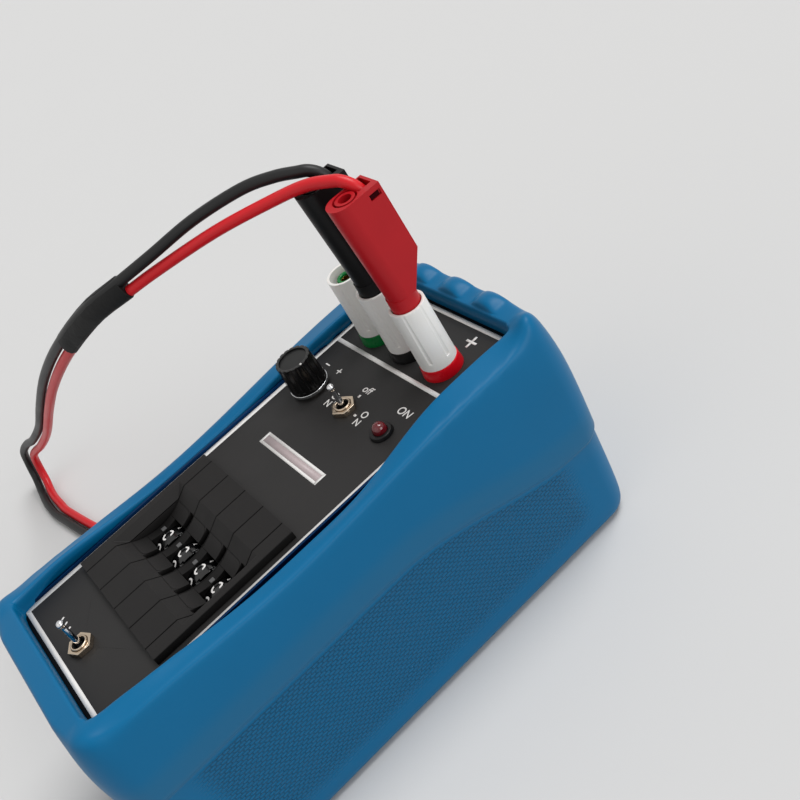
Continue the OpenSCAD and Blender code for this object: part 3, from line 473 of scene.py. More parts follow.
# A surface takes its name, colour, roughness, the grain's size and relief in millimetres, how far
# the tone varies, the size of its clouds in millimetres and how far the roughness varies. A metal
# takes its name, colour, roughness, the lines' size and relief in millimetres and their axis.
MAKERS = {
    "boot": moulded_elastomer,
    # Powder-coated aluminium: dull charcoal with an orange-peel skin
    "panel": lambda c: surface(
        "Powder-coated aluminium, charcoal", c.panel, 0.55, 0.8, 0.012, 0.05, 20, Specular_IOR_Level=0.3
    ),
    # Screen ink: flat, slightly uneven in cover
    "ink": lambda c: surface("Screen ink, white", c.ink, 0.6, 0.35, 0.006, 0.05, 2.5),
    # The dim ink is painted shade: the part of the digits that takes no light
    "ink_dim": lambda c: surface("Screen ink, painted shade", c.ink_dim, 0.5, 0.35, 0.006, 0.1, 2.5),
    # Laminated paper label: dull with a soft stain
    "label": lambda c: surface("Laminated paper, blank", c.label, 0.45, 0.3, 0.004, 0.10, 9),
    # Anodised extrusion and plates: drawn lines, deep colour, dull metal shine
    "case": lambda c: brushed_metal("Anodised aluminium, navy", c.navy, 0.38, 0.25, 0.006, "Y"),
    "plate": lambda c: brushed_metal("Anodised aluminium, black", c.black_metal, 0.42, 0.25, 0.006, "X"),
    # Bright zinc plate: small screws and contacts
    "steel": lambda c: brushed_metal("Zinc-plated steel", linear("#a9adb0"), 0.3, 0.2, 0.004, "Z"),
    # Nickel plate over brass: warm, polished, with faint turning lines
    "nickel": lambda c: brushed_metal("Nickel-plated brass", linear("#c9b8a4"), 0.2, 0.15, 0.003, "Z"),
    "brass": lambda c: brushed_metal("Turned brass", linear("#c8a155"), 0.22, 0.15, 0.003, "Z"),
    # Chrome plate: near mirror
    "chrome": lambda c: brushed_metal("Chrome-plated brass", linear("#d3d4d6"), 0.08, 0.15, 0.001, "Z"),
    # Moulded ABS of the thumbwheels: charcoal with a spark-eroded texture
    "block": seamed_block,
    # Polished acetal of the wheels: black gloss
    "wheel": lambda c: surface("Acetal, gloss black", c.wheel, 0.16, 0.5, 0.002, 0.2, 5, 0.04),
    # Index tabs beside the windows: dull grey
    "tab": lambda c: surface("Moulded ABS, grey", c.tab, 0.4, 0.4, 0.008),
    # Phenolic knob: deep gloss with slight moulding waves
    "knob": lambda c: surface("Phenolic, gloss black", c.knob, 0.17, 1.2, 0.004, 0.2, 6, 0.05),
    # Spun disc in the knob: grey lacquer
    "disc": lambda c: surface(
        "Lacquered aluminium, grey", c.knob_disc, 0.36, 0.3, 0.006, 0.06, 4, Specular_IOR_Level=0.25
    ),
    # Nylon caps: white with a soft sheen, faint flow marks
    "cap": lambda c: surface(
        "Moulded nylon, white", c.cap, 0.36, 0.7, 0.008, 0.025, 12, 0.05, Subsurface_Weight=0.05
    ),
    # Collars and the lamp's clip: satin, with faint flow marks
    "green": lambda c: surface(
        "Moulded polyamide, green", c.green, 0.3, 0.6, 0.006, 0.06, 6, Specular_IOR_Level=0.3
    ),
    "red": lambda c: surface(
        "Moulded polyamide, red", c.red, 0.3, 0.6, 0.006, 0.06, 6, Specular_IOR_Level=0.3
    ),
    "black": lambda c: surface(
        "Moulded polyamide, black", c.black, 0.4, 0.6, 0.008, 0.1, 6, Specular_IOR_Level=0.3
    ),
    # Soft PVC plugs: satin, with a flow mark or two
    "plug_red": lambda c: surface(
        "Moulded PVC, red", c.plug_red, 0.4, 0.7, 0.014, 0.06, 11, Specular_IOR_Level=0.25
    ),
    "plug_black": lambda c: surface(
        "Moulded PVC, black", c.black, 0.45, 0.7, 0.014, 0.1, 11, Specular_IOR_Level=0.22
    ),
    # Floor of the plugs' pockets: the same plastic, deep in shade
    "pocket": lambda c: surface(
        "Moulded PVC, in shade", linear("#2c0206"), 0.8, 0.7, 0.01, 0.1, 4, Specular_IOR_Level=0.05
    ),
    # Flexible lead insulation: satin, with the faint wave of the strands under it
    "lead_red": lambda c: surface(
        "Extruded PVC, red", c.lead_red, 0.38, 1.6, 0.012, 0.05, 22, Specular_IOR_Level=0.35
    ),
    "lead_black": lambda c: surface(
        "Extruded PVC, black", c.lead_black, 0.45, 1.6, 0.012, 0.08, 22, Specular_IOR_Level=0.35
    ),
    # Shrunk sleeve: dull, with shallow wrinkles
    "sleeve": lambda c: surface(
        "Shrunk polyolefin, black", linear("#070708"), 0.55, 2.2, 0.12, 0.1, 8, Specular_IOR_Level=0.25
    ),
    "lamp": lamp_lens,
    # Pieces inside the case
    "board": lambda c: surface(
        "Solder-masked laminate, green", linear("#1d5a34"), 0.35, 0.5, 0.01, 0.1, 6
    ),
    "parts": lambda c: surface("Moulded epoxy, black", linear("#1b1b1c"), 0.5, 0.3, 0.01),
    "wrap": lambda c: surface("Shrink wrap, copper", linear("#b5742f"), 0.3, 0.6, 0.006, 0.1, 10),
    "holder": lambda c: surface("Moulded polypropylene, black", linear("#171718"), 0.5, 0.6, 0.012),
}


def paint(obj, name):
    """Gives an object one finish, shaded smoothly."""
    if obj.data.materials:
        obj.data.materials.clear()
    obj.data.materials.append(finish(name))
    if obj.type == "MESH":
        obj.data.shade_smooth()
    return obj


def soften(obj, radius, segments=2):
    """Rounds the sharp edges of a piece and evens its shading, with live modifiers."""
    bevel = obj.modifiers.new("Rounded edges", "BEVEL")
    bevel.width = radius
    bevel.segments = segments
    bevel.limit_method = "ANGLE"
    bevel.angle_limit = math.radians(32)
    bevel.miter_outer = "MITER_ARC"
    bevel.use_clamp_overlap = True
    even = obj.modifiers.new("Even shading", "WEIGHTED_NORMAL")
    even.weight = 80
    return obj


def dress(look, names, edge=None, segments=2):
    """Gives CAD nodes their finish and the rounded edges of the real pieces."""
    for name in names:
        node = paint(NODES[name], look)
        weld = node.modifiers.new("Joined faces", "WELD")
        weld.merge_threshold = 0.000005
        soften(node, sizes().edge if edge is None else edge * MM, segments)


def new_piece(bm, name, look, body="base", merge=0.0, recalculate=True):
    """Makes a piece of a bmesh, riding on its body."""
    if merge:
        bmesh.ops.remove_doubles(bm, verts=bm.verts, dist=merge * MM)
    if recalculate:
        bmesh.ops.recalc_face_normals(bm, faces=bm.faces)
    mesh = bpy.data.meshes.new(name)
    bm.to_mesh(mesh)
    bm.free()
    obj = bpy.data.objects.new(name, mesh)
    bpy.context.scene.collection.objects.link(obj)
    paint(obj, look)
    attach(obj, body)
    return obj


def stroke(bm, x, y, wide, high, turn=0.0, z=None):
    """One printed bar on the panel, its middle and sizes in millimetres."""
    depth = sizes().ink_depth / MM
    place = Matrix.Translation(Vector((x, y, (PANEL_Z if z is None else z) + depth / 2)) * MM)
    shape = Matrix.Diagonal((wide * MM, high * MM, depth * MM, 1))
    bmesh.ops.create_cube(bm, size=1, matrix=place @ Matrix.Rotation(math.radians(turn), 4, "Z") @ shape)


def lettering(letters, high, boldness, slant=0.0, depth=0.0):
    """A mesh of letters of a height of capitals, centred on the origin, its sizes in metres."""
    curve = bpy.data.curves.new("letters", "FONT")
    curve.body = letters
    curve.size = high * 1.38
    curve.shear = slant
    curve.offset = boldness
    curve.align_x = "CENTER"
    curve.align_y = "CENTER"
    curve.extrude = depth / 2
    carrier = bpy.data.objects.new("letters", curve)
    bpy.context.scene.collection.objects.link(carrier)
    bpy.context.view_layer.update()
    shown = carrier.evaluated_get(bpy.context.evaluated_depsgraph_get())
    mesh = bpy.data.meshes.new_from_object(shown)
    bpy.data.objects.remove(carrier)
    return mesh


def word(bm, letters, x, y, high, slant=0.12):
    """A generic word or sign on the panel, centred on a place in millimetres."""
    depth = sizes().ink_depth
    mesh = lettering(letters, high * MM, 0.00005, slant, depth)
    mesh.transform(Matrix.Translation(Vector((x, y, PANEL_Z + depth / MM / 2)) * MM))
    bm.from_mesh(mesh)
    bpy.data.meshes.remove(mesh)


def turned(bm, profile, middle, closed=False, tilt=0.0, steps=40):
    """Turns a profile of radius and height about an upright axis, in millimetres."""
    before = set(bm.verts)
    spots = [bm.verts.new((r * MM, 0, z * MM)) for r, z in profile]
    edges = [bm.edges.new(pair) for pair in zip(spots, spots[1:])]
    if closed:
        edges.append(bm.edges.new((spots[-1], spots[0])))
    bmesh.ops.spin(
        bm,
        geom=spots + edges,
        cent=(0, 0, 0),
        axis=(0, 0, 1),
        dvec=(0, 0, 0),
        angle=math.tau,
        steps=steps,
        use_merge=True,
    )
    place = Matrix.Translation(Vector(middle) * MM) @ Matrix.Rotation(math.radians(tilt), 4, "Y")
    bmesh.ops.transform(bm, matrix=place, verts=[v for v in bm.verts if v not in before])


def arc(middle, radius, low, high, count=8):
    """Points of a profile's arc between two angles above the horizontal."""
    turns = [math.radians(low + (high - low) * k / count) for k in range(count + 1)]
    return [(radius * math.cos(a), middle + radius * math.sin(a)) for a in turns]


# Leads


def curved(points, steps=6):
    """Points of a smooth curve through given points."""
    path = []
    for i in range(len(points) - 1):
        a, b = points[max(0, i - 1)], points[i]
        c, d = points[i + 1], points[min(len(points) - 1, i + 2)]
        square = 2 * a - 5 * b + 4 * c - d
        cube = 3 * b - a - 3 * c + d
        for k in range(steps):
            s = k / steps
            path.append(0.5 * (2 * b + (c - a) * s + square * s * s + cube * s**3))
    return path + [points[-1]]


# Top of the black plug's cable hole, the bend out of it and the start of the lead inside it
LEAD_TOP = Vector((0, 72.4, 154))
LEAD_BEND = 9
LEAD_INSIDE = 10
BEND_STEPS = 4

# The routes that the photograph shows, then down to the surface and under the boot's far side
RED_ROUTE = (
    (2, 63, 156.7), (-9, 53.4, 154.8), (-24, 38.5, 151.4), (-40, 19.9, 146.2), (-49, 8.2, 142.7),
    (-61, -3, 137.4), (-85, -17.2, 122.1), (-115, -27.3, 101.7), (-148, -35, 78),
    (-182, -42, 53), (-210, -48.5, 35), (-224, -52, 27.3), (-235, -55, 20), (-238.2, -57, 12),
    (-234.5, -59, 5), (-225, -61, 2), (-212, -61, 2), (-200, -60, 2), (-163, -52, 2), (-132, -38, 2),
)
BLACK_ROUTE = (
    (-12, 60.6, 158.8), (-19, 51.7, 159.2), (-30, 36.3, 156.4), (-40, 20.8, 151.6), (-50, 7.4, 147),
    (-62.8, -4.2, 141.2), (-87, -18, 126), (-117.2, -28, 105.6), (-150.4, -35.7, 81.6),
    (-184.4, -42.7, 56.6), (-213, -49.5, 38.5), (-229, -53.5, 30.5), (-240, -57.5, 22.5),
    (-243.5, -60, 13.5), (-239.5, -62.5, 5.5), (-230, -65, 2), (-216, -66, 2), (-200, -64.6, 2),
    (-160, -56.4, 2), (-135, -43.8, 2), (-119, -36.9, 4.8),
)
# From the coil into the cable holes of the plugs at the far ends
RED_TAIL = ((-84.5, 12, 9), (-90, 30, 6.5), (-97.5, 44, 5), (-99, 53, 5))
BLACK_TAIL = ((-84.2, 12, 13), (-85.6, 27, 9.5), (-88, 39, 5.5), (-88, 47, 5))

# Coil behind the boot: radius of its outermost turn, the step from turn to turn and the rise to
# its upper layer, which a lead climbs in part of a turn
COIL_MIDDLE = (-109, -4)
COIL_START = -75
COIL_TURNS = 3 + 75 / 360
COIL_OUTSIDE = 25.6
COIL_STEP = 4.1
COIL_LAYER = 8
COIL_CLIMB = 0.3
COIL_POINTS = 12


def plug_exit(x, lean, rise):
    """Points of a lead out of its plug's top, with a bend towards where it leans."""
    points = [LEAD_TOP + Vector((x, 0, -LEAD_INSIDE))]
    for k in range(BEND_STEPS + 1):
        a = math.radians(90 * k / BEND_STEPS)
        side = LEAD_BEND * (1 - math.cos(a))
        height = rise - LEAD_BEND + LEAD_BEND * math.sin(a)
        points.append(LEAD_TOP + Vector((x + side * lean[0], side * lean[1], height)))
    return points


def winding(height):
    """Points of one lead in the coil: a layer inwards, then one outwards above it."""
    count = round(COIL_TURNS * COIL_POINTS)
    half = COIL_TURNS / 2
    points = []
    for k in range(count + 1):
        t = COIL_TURNS * k / count
        a = math.radians(COIL_START + 360 * t)
        r = COIL_OUTSIDE - COIL_STEP * min(t, COIL_TURNS - t)
        z = height + COIL_LAYER * eased(t, half - COIL_CLIMB / 2, half + COIL_CLIMB / 2)
        points.append(Vector((COIL_MIDDLE[0] + r * math.cos(a), COIL_MIDDLE[1] + r * math.sin(a), z)))
    return points


def lead(name, look, slot, x, lean, rise, route, coil_height, tail):
    """One lead as a round tube along its whole route."""
    points = plug_exit(x, lean, rise) + [Vector(p) for p in route] + winding(coil_height)
    path = curved(points + [Vector(p) for p in tail])
    curve = bpy.data.curves.new(name, "CURVE")
    curve.dimensions = "3D"
    curve.bevel_depth = sizes().lead / 2
    curve.bevel_resolution = 4
    curve.use_fill_caps = True
    line = curve.splines.new("POLY")
    line.points.add(len(path) - 1)
    # The lead's middle never comes lower than its radius above the surface
    lowest = sizes().lead / 2 / MM
    for spot, p in zip(line.points, path):
        spot.co = (p.x * MM, p.y * MM, max(p.z, lowest) * MM, 1)
    line.use_smooth = True
    obj = bpy.data.objects.new(name, curve)
    bpy.context.scene.collection.objects.link(obj)
    obj.data.materials.append(finish(look))
    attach(obj, "base")
    return obj, Vector(path[0]) * MM


class CALIBRATOR_OT_camera_and_stage(bpy.types.Operator):
    """Adds the camera of the photograph, the pale floor and the studio light"""

    bl_idname = "calibrator.camera_and_stage"
    bl_label = "Camera and stage"

    def execute(self, context):
        scene = context.scene
        scene.view_settings.view_transform = "Standard"
        camera = bpy.data.objects.new("camera", bpy.data.cameras.new("camera"))
        scene.collection.objects.link(camera)
        rows = [list(r) for r in zip(EYE_RIGHT, EYE_UP, EYE_BACK, EYE)] + [[0, 0, 0, 1]]
        camera.matrix_world = Matrix(rows)
        camera.data.sensor_width = 36
        camera.data.lens = LENS
        camera.data.shift_x, camera.data.shift_y = SHIFT
        camera.data.clip_start = 0.01
        scene.camera = camera

        # Floor: 16 m across, a hair below the boot
        bm = bmesh.new()
        below = Matrix.Translation((0, 0, -0.0002))
        bmesh.ops.create_grid(bm, x_segments=2, y_segments=2, size=8, matrix=below)
        mesh = bpy.data.meshes.new("floor")
        bm.to_mesh(mesh)
        bm.free()
        floor = bpy.data.objects.new("floor", mesh)
        scene.collection.objects.link(floor)
        # Painted board: pale, dull, almost even
        floor.data.materials.append(
            surface("Painted board, pale", linear("#c9c9c9"), 0.85, 1.5, 0.01, 0.01, 80)
        )

        world = bpy.data.worlds.new("studio")
        scene.world = world
        world.use_nodes = True
        tree = world.node_tree
        tree.nodes.clear()
        # The sky lights the scene at the lower strength, and is seen at the higher one
        ray = add(tree, "ShaderNodeLightPath")
        seen = add(
            tree,
            "ShaderNodeMath",
            {0: ray.outputs["Is Camera Ray"], 1: ray.outputs["Is Transmission Ray"]},
            operation="MAXIMUM",
        )
        seen = add(
            tree,
            "ShaderNodeMath",
            {0: seen.outputs[0], 1: ray.outputs["Is Glossy Ray"]},
            operation="MAXIMUM",
        )
        strength = add(
            tree, "ShaderNodeMapRange", {"Value": seen.outputs[0], "To Min": 0.42, "To Max": 0.74}
        )
        sky = add(
            tree,
            "ShaderNodeBackground",
            {"Color": linear("#fffefc"), "Strength": strength.outputs["Result"]},
        )
        add(tree, "ShaderNodeOutputWorld", {"Surface": sky.outputs["Background"]})

        # Broad, distant lamps light the floor evenly all round: direction, spread and strength
        for name, place, spread, strength in (
            ("key", (0.05, 0.53, 1.03), 32, 2.15),
            ("side", (0.95, 0.33, 0.43), 36, 1.0),
            ("fill", (0.2, -0.9, 0.8), 60, 0.25),
        ):
            data = bpy.data.lights.new(name, "SUN")
            data.angle, data.energy = math.radians(spread), strength
            lamp = bpy.data.objects.new(name, data)
            lamp.location = place
            lamp.rotation_euler = Vector(place).to_track_quat("Z", "Y").to_euler()
            scene.collection.objects.link(lamp)
        return {"FINISHED"}


class CALIBRATOR_OT_leads(bpy.types.Operator):
    """Adds the red and the black lead, each about a metre long, with its coil and plugs"""

    bl_idname = "calibrator.leads"
    bl_label = "Leads"

    def execute(self, context):
        red, start = lead(
            "red_lead",
            "lead_red",
            "lead_red",
            TERMINAL_PITCH,
            (-0.88, -0.48),
            2.8,
            RED_ROUTE,
            2,
            RED_TAIL,
        )
        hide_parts("lead_red", "lead_coil")
        black, start = lead(
            "black_lead",
            "lead_black",
            "lead_black",
            0,
            (-0.72, -0.69),
            3.6,
            BLACK_ROUTE,
            6,
            BLACK_TAIL,
        )
        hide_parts("lead_black")
        dress("sleeve", ["lead_sleeve"], 0.4)
        dress("plug_red", ["plug_red", "plug_red_far"], 0.45, 3)
        dress("plug_black", ["plug_black", "plug_black_far"], 0.45, 3)
        dress("nickel", ["plug_pins"], 0.15)
        # Painted shade: a dark sheet on the floor of the pocket in each plug's broad face
        for name in ("red", "black"):
            high = box_mm(f"plug_{name}")[1]
            bm = bmesh.new()
            spot = Vector((high.x - 0.42, TERMINAL_Y + 6.9, high.z - 2.9))
            size = Matrix.Diagonal((0.3 * MM, 3.2 * MM, 1.5 * MM, 1))
            bmesh.ops.create_cube(bm, size=1, matrix=Matrix.Translation(spot * MM) @ size)
            pocket = new_piece(bm, f"plug_pocket_{name}", "pocket")
            soften(pocket, 0.1 * MM)
        return {"FINISHED"}


def ledge_height(y):
    """Height of the boot's ledge at a place along it, in millimetres."""
    return LEDGE_HIGH - (LEDGE_HIGH - LEDGE_LOW) * eased(y, LEDGE_START, LEDGE_END)


class CALIBRATOR_OT_boot(bpy.types.Operator):
    """Adds the elastic boot with rounded rims over its CAD solid"""

    bl_idname = "calibrator.boot"
    bl_label = "Boot"

    def execute(self, context):
        bm = bmesh.new()
        bm.from_mesh(NODES["boot"].data)
        bmesh.ops.remove_doubles(bm, verts=bm.verts, dist=0.000005)
        # The solid's loops of quads come back once the diagonals are gone: the edges that are the
        # longest of both their triangles
        spans = {e: e.calc_length() for e in bm.edges}
        diagonals = [
            e
            for e in bm.edges
            if len(e.link_faces) == 2
            and all(spans[e] > max(spans[x] for x in f.edges) - 1e-9 for f in e.link_faces)
        ]
        bmesh.ops.dissolve_edges(bm, edges=diagonals, use_verts=False)
        bmesh.ops.join_triangles(
            bm,
            faces=[f for f in bm.faces if len(f.verts) == 3 and abs(f.normal.z) < 0.999],
            angle_face_threshold=math.radians(60),
            angle_shape_threshold=math.radians(180),
        )
        # The loop round the cavity's floor and the ledge keep their edges. The loops under the lip
        # lie higher and aren't creased, so the skin is rounded there and runs up to 2.4 mm into
        # the hidden corners of the case.
        cavity = box_mm("end_plates")[1] + Vector((1.2, 1.2, 0))
        crease = bm.edges.layers.float.new("crease_edge")
        for e in bm.edges:
            spots = [v.co / MM for v in e.verts]
            floor_loop = all(
                abs(p.x) < cavity.x and abs(p.y) < cavity.y and 2 < p.z < UNDER_LIP for p in spots
            )
            ledge = any(
                all(abs(p.z - ledge_height(p.y) - rise) < 0.1 for p in spots)
                for rise in (0, LEDGE_STEP)
            )
            e[crease] = 1.0 if floor_loop else 0.75 if ledge else 0.0
        # Beside the thumbwheels the lower rim stands clear of the panel's line and leans in later:
        # the solid's rim leans in between the first two places, the skin's between the last two
        for v in bm.verts:
            x, y, z = v.co / MM
            if z > UNDER_LIP and abs(x) < cavity.x + 1.6 and -84 < y < -36:
                out = 3.7 * (eased(-y, 39, 83) - eased(-y, 66, 87)) * MM
                v.co.x += math.copysign(out, x)
        # The ears at the corners run softly into the walls
        ears = [
            v for v in bm.verts if abs(v.co.x) > 0.034 and abs(v.co.y) > 0.078 and v.co.z > 0.0845
        ]
        for _ in range(3):
            bmesh.ops.smooth_vert(
                bm, verts=ears, factor=0.5, use_axis_x=True, use_axis_y=True, use_axis_z=True
            )
        boot = new_piece(bm, "elastic_boot", "boot")
        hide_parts("boot")
        skin = boot.modifiers.new("Smooth skin", "SUBSURF")
        skin.levels = skin.render_levels = 2
        return {"FINISHED"}


class CALIBRATOR_OT_case_and_inside(bpy.types.Operator):
    """Finishes the case, the panel plate and what is inside"""

    bl_idname = "calibrator.case_and_inside"
    bl_label = "Case and inside"

    def execute(self, context):
        dress("case", ["case_channel"], 0.15)
        dress("plate", ["end_plates"], 0.15)
        dress("steel", ["end_screws", "battery_contacts", "wheel_tie_rods", "pot_shaft"], 0.08)
        dress("panel", ["front_panel"], 0.15)
        dress("holder", ["battery_holder"])
        dress("wrap", ["battery_cells"])
        dress("board", ["circuit_board"], 0.1)
        dress("parts", ["board_components"], 0.15)
        return {"FINISHED"}


class CALIBRATOR_OT_panel_print(bpy.types.Operator):
    """Prints the white lines, ticks and generic signs on the panel, and adds the blank label"""

    bl_idname = "calibrator.panel_print"
    bl_label = "Panel print"

    def execute(self, context):
        side = sizes().side_line / MM
        cross = sizes().end_line / MM
        edge = PANEL_HIGH.x
        middle, long = (LINE_TOP + LINE_LOW) / 2, LINE_TOP - LINE_LOW
        bm = bmesh.new()
        for s in (-1, 1):
            stroke(bm, s * (edge - side / 2), middle, side, long + cross)
        for y in (LINE_TOP, LINE_TERMINALS, LINE_LOW):
            stroke(bm, 0, y, 2 * (edge - side), cross)
        # Plus sign of the red terminal: one long bar and two arms
        plus_x, plus_y, wide, arm = 19.4, 78.4, 0.95, 2.13
        stroke(bm, plus_x, plus_y, 5.2, wide)
        for s in (-1, 1):
            stroke(bm, plus_x, plus_y + s * (wide + arm) / 2, wide, arm)
        # Ticks of the upper switch
        tick_wide, tick_long = 0.9, 1.3
        stroke(bm, 0, 41.8, tick_wide, tick_long)
        for x in (-6.3, 6.2):
            stroke(bm, x, ROW_Y, tick_long, tick_wide)
        # Signs: off in the middle, on to both sides, less and more at the knob, on at the lamp
        high = sizes().word / MM
        word_y, sign_y = 45.2, 45.3
        word(bm, "off", 0.6, word_y, high)
        for x in (-9.1, 9.6):
            word(bm, "O", x, ROW_Y + 1.8, high * 0.9, slant=0)
            word(bm, "N", x, ROW_Y - 1.8, high * 0.9, slant=0)
        word(bm, "−", KNOB_X - 3.9, sign_y, high * 1.2)
        word(bm, "+", KNOB_X + 3.9, sign_y, high * 1.2)
        word(bm, "ON", LAMP_X, word_y, high)
        # Ticks beside the lower switch
        for k in range(3):
            stroke(bm, -18.6 + 3.2 * k, RANGE_Y - 0.3, 0.7, 1.4, 25)
        # Frame of the blank label, then the label in it
        x, y = LABEL_MIDDLE
        wide, high = LABEL_SIZE
        inner_wide, inner_high = wide - 2 * LABEL_RIM, high - 2 * LABEL_RIM
        for s in (-1, 1):
            stroke(bm, x + s * (wide - LABEL_RIM) / 2, y, LABEL_RIM, high)
            stroke(bm, x, y + s * (high - LABEL_RIM) / 2, inner_wide, LABEL_RIM)
        new_piece(bm, "panel_print", "ink")
        bm = bmesh.new()
        stroke(bm, x, y, inner_wide, inner_high)
        new_piece(bm, "panel_label", "label")
        return {"FINISHED"}


class CALIBRATOR_OT_terminals(bpy.types.Operator):
    """Finishes the three screw terminals with their fluted white caps"""

    bl_idname = "calibrator.terminals"
    bl_label = "Terminals"

    def execute(self, context):
        dress("brass", ["terminal_posts"], 0.1)
        for name in ("green", "black", "red"):
            dress(name, [f"terminal_base_{name}"], 0.35, 3)
            dress("nickel", [f"terminal_insert_{name}"], 0.1)
            dress("cap", [f"terminal_cap_{name}"], 0.22, 3)
        dress("nickel", ["terminal_nuts"], 0.15)
        # Rim of the free terminal's liner, round its socket
        low, high = box_mm("terminal_base_green")
        bm = bmesh.new()
        outside = [(2.1, -0.9), (3.32, -0.9), (3.32, 0.75), (3.2, 0.95), (2.95, 1.05)]
        inside = [(2.5, 1.0), (2.2, 0.8), (2.1, 0.5)]
        middle = ((low.x + high.x) / 2, TERMINAL_Y, high.z)
        turned(bm, outside + inside, middle, closed=True)
        new_piece(bm, "liner_rim_green", "green", merge=0.002)
        return {"FINISHED"}


class CALIBRATOR_OT_switches_knob_lamp(bpy.types.Operator):
    """Finishes the toggle switches, the knob with its pointer mark, and the lamp"""

    bl_idname = "calibrator.switches_knob_lamp"
    bl_label = "Switches, knob and lamp"

    def execute(self, context):
        dress("parts", ["toggle_bodies"], 0.1)
        dress("nickel", ["toggle_nuts"], 0.22, 3)
        # Levers: ball in the bushing, cone and ball tip, on a cross pin
        ball = [(0, -1.9)] + arc(0, 1.9, -80, 49)
        cone = [(1.24, 1.8), (1.16, 4.4), (0.86, 10.4), (0.78, 11.0)]
        tip = arc(12.4, 1.35, -52, 82, 10) + [(0, 13.75)]
        ring = [(2.3, 1.6), (2.95, 1.6), (2.95, 2.3), (2.86, 2.52), (2.62, 2.62), (2.4, 2.52)]
        for i, y, tilt in ((1, ROW_Y, 0), (2, RANGE_Y, -12)):
            bm = bmesh.new()
            pivot = (0, y, PANEL_Z - PIVOT_DEPTH)
            turned(bm, ball + cone + tip, pivot, tilt=tilt)
            place = Matrix.Translation(Vector(pivot) * MM) @ Matrix.Rotation(math.pi / 2, 4, "X")
            bmesh.ops.create_cone(
                bm,
                cap_ends=True,
                segments=24,
                radius1=0.6 * MM,
                radius2=0.6 * MM,
                depth=5.2 * MM,
                matrix=place,
            )
            lever = new_piece(bm, f"lever_{i}", "chrome", f"lever_{i}", 0.002)
            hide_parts(f"toggle_lever_{i}")
            # Bright collar of the bushing inside the nut
            bm = bmesh.new()
            turned(bm, ring + [(2.3, 2.3)], (0, y, PANEL_Z), closed=True)
            new_piece(bm, f"bushing_collar_{i}", "nickel", merge=0.002)
        dress("knob", ["knob"], 0.18, 3)
        dress("disc", ["knob_cap"], 0.1)
        dress("chrome", ["knob_ring"], 0.12)
        dress("steel", ["potentiometer"], 0.2)
        # Lens: a smooth dome on a short barrel over the lamp's solid
        low, high = box_mm("led")
        middle = ((low.x + high.x) / 2, (low.y + high.y) / 2, 0)
        radius = (high.x - low.x) / 2 - 0.4
        foot = PANEL_Z - LENS_DEPTH
        bm = bmesh.new()
        dome = arc(high.z - radius, radius, 0, 84, 12) + [(0, high.z)]
        turned(bm, [(0, foot), (radius, foot)] + dome, middle, steps=48)
        # Two legs, 0.5 mm square and 2.54 mm apart
        for x in (-1.27, 1.27):
            leg = Matrix.Translation(Vector((middle[0] + x, middle[1], (low.z + foot) / 2)) * MM)
            size = Matrix.Diagonal((0.5 * MM, 0.5 * MM, (foot - low.z) * MM, 1))
            bmesh.ops.create_cube(bm, size=1, matrix=leg @ size)
        lamp = new_piece(bm, "lamp_lens", "lamp", merge=0.002)
        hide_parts("led")
        soften(lamp, 0.12 * MM)
        dress("black", ["led_clip"], 0.2)
        # Pointer mark: a white line across the knob's rim
        low, high = box_mm("knob")
        radius = (high.x - low.x) / 2
        bm = bmesh.new()
        stroke(bm, KNOB_X + radius - 1.15, ROW_Y, 1.0, 0.7, z=high.z)
        new_piece(bm, "knob_mark", "ink", "knob")
        return {"FINISHED"}


def bent_digit(bm, figure, middle_x, axis_y, axis_z, radius, turn):
    """A printed digit bent round a wheel's rim at a turn from its top, sizes in millimetres."""
    mesh = lettering(str(figure), sizes().digit, 0.00003)
    part = bmesh.new()
    part.from_mesh(mesh)
    bpy.data.meshes.remove(mesh)
    middle = (max(v.co.y for v in part.verts) + min(v.co.y for v in part.verts)) / 2
    bmesh.ops.translate(part, verts=part.verts, vec=(0, -middle, 0))
    # Cuts 0.5 mm apart let the figure bend. Its upper right and lower left take the light, and a
    # slanting band 1 mm to either side of its middle is painted shade in the dim ink.
    band, slant = 0.0010, 0.45
    cuts = [(k * 0.0005, 0) for k in range(-5, 6)] + [(-band, slant), (band, slant)]
    for at, lean in cuts:
        geometry = part.verts[:] + part.edges[:] + part.faces[:]
        bmesh.ops.bisect_plane(part, geom=geometry, plane_co=(0, at, 0), plane_no=(lean, 1, 0))
    for f in part.faces:
        at = f.calc_center_median()
        f.material_index = int(abs(at.y + slant * at.x) < band)
    for v in part.verts:
        a = math.radians(turn) + v.co.y / (radius * MM)
        v.co = Vector(
            (
                middle_x * MM + v.co.x,
                axis_y * MM + radius * MM * math.sin(a),
                axis_z * MM + radius * MM * math.cos(a),
            )
        )
    bent = bpy.data.meshes.new("digit")
    part.to_mesh(bent)
    part.free()
    bm.from_mesh(bent)
    bpy.data.meshes.remove(bent)


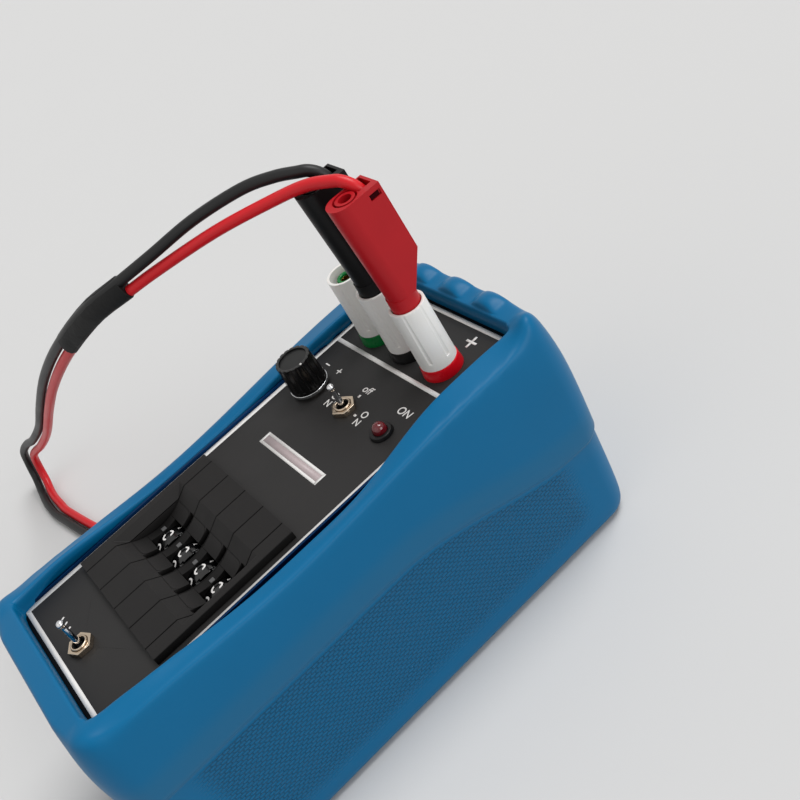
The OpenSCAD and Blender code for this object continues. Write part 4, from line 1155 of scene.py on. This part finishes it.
class CALIBRATOR_OT_thumbwheels(bpy.types.Operator):
    """Finishes the thumbwheel block and prints the digits and index tabs"""

    bl_idname = "calibrator.thumbwheels"
    bl_label = "Thumbwheels"

    def execute(self, context):
        dress("block", ["wheel_cap_left", "wheel_cap_right"], 0.22)
        for i in range(1, 5):
            dress("block", [f"wheel_housing_{i}"], 0.24)
            dress("block", [f"button_up_{i}", f"button_down_{i}"], 0.16)
            dress("wheel", [f"digit_wheel_{i}"], 0.15)
            low, high = box_mm(f"digit_wheel_{i}")
            axis_y, axis_z = (low.y + high.y) / 2, (low.z + high.z) / 2
            # The ink lies 0.015 mm proud of the wheel's rim
            radius = (high.z - low.z) / 2 + 0.015
            bm = bmesh.new()
            for figure in range(10):
                bent_digit(bm, figure, low.x + 3.3, axis_y, axis_z, radius, 36 * figure)
            body = f"wheel_{i}"
            digits = new_piece(bm, f"digits_{i}", "ink", body, recalculate=False)
            # Second slot: the band of each digit in painted shade
            digits.data.materials.append(finish("ink_dim"))
            # Index tab on the plate at the left of the window
            bm = bmesh.new()
            place = Matrix.Translation(Vector((low.x + 0.75, axis_y + 0.4, PANEL_Z - 2.85)) * MM)
            size = Matrix.Diagonal((1.7 * MM, 1.7 * MM, 0.5 * MM, 1))
            bmesh.ops.create_cube(bm, size=1, matrix=place @ size)
            tab = new_piece(bm, f"index_tab_{i}", "tab")
            soften(tab, 0.12 * MM)
        return {"FINISHED"}


class CALIBRATOR_PT_sidebar(bpy.types.Panel):
    """Lists the steps, sizes and colours"""

    bl_idname = "CALIBRATOR_PT_sidebar"
    bl_label = "Calibrator"
    bl_space_type = "VIEW_3D"
    bl_region_type = "UI"
    bl_category = "Calibrator"

    def draw(self, context):
        for step in STEPS:
            self.layout.operator(step.bl_idname)
        for group in (context.scene.calibrator_sizes, context.scene.calibrator_colours):
            box = self.layout.box()
            for name in group.__annotations__:
                box.prop(group, name)


STEPS = (
    CALIBRATOR_OT_camera_and_stage,
    CALIBRATOR_OT_leads,
    CALIBRATOR_OT_boot,
    CALIBRATOR_OT_case_and_inside,
    CALIBRATOR_OT_panel_print,
    CALIBRATOR_OT_terminals,
    CALIBRATOR_OT_switches_knob_lamp,
    CALIBRATOR_OT_thumbwheels,
)
CLASSES = (CalibratorColours, CalibratorSizes, *STEPS, CALIBRATOR_PT_sidebar)


def register():
    for cls in CLASSES:
        bpy.utils.register_class(cls)
    bpy.types.Scene.calibrator_colours = PointerProperty(type=CalibratorColours)
    bpy.types.Scene.calibrator_sizes = PointerProperty(type=CalibratorSizes)


def unregister():
    del bpy.types.Scene.calibrator_sizes
    del bpy.types.Scene.calibrator_colours
    for cls in reversed(CLASSES):
        bpy.utils.unregister_class(cls)


def main():
    """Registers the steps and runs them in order."""
    register()
    bpy.ops.calibrator.camera_and_stage()
    bpy.ops.calibrator.leads()
    bpy.ops.calibrator.boot()
    bpy.ops.calibrator.case_and_inside()
    bpy.ops.calibrator.panel_print()
    bpy.ops.calibrator.terminals()
    bpy.ops.calibrator.switches_knob_lamp()
    bpy.ops.calibrator.thumbwheels()
    bpy.context.view_layer.update()


if __name__ == "__main__":
    main()
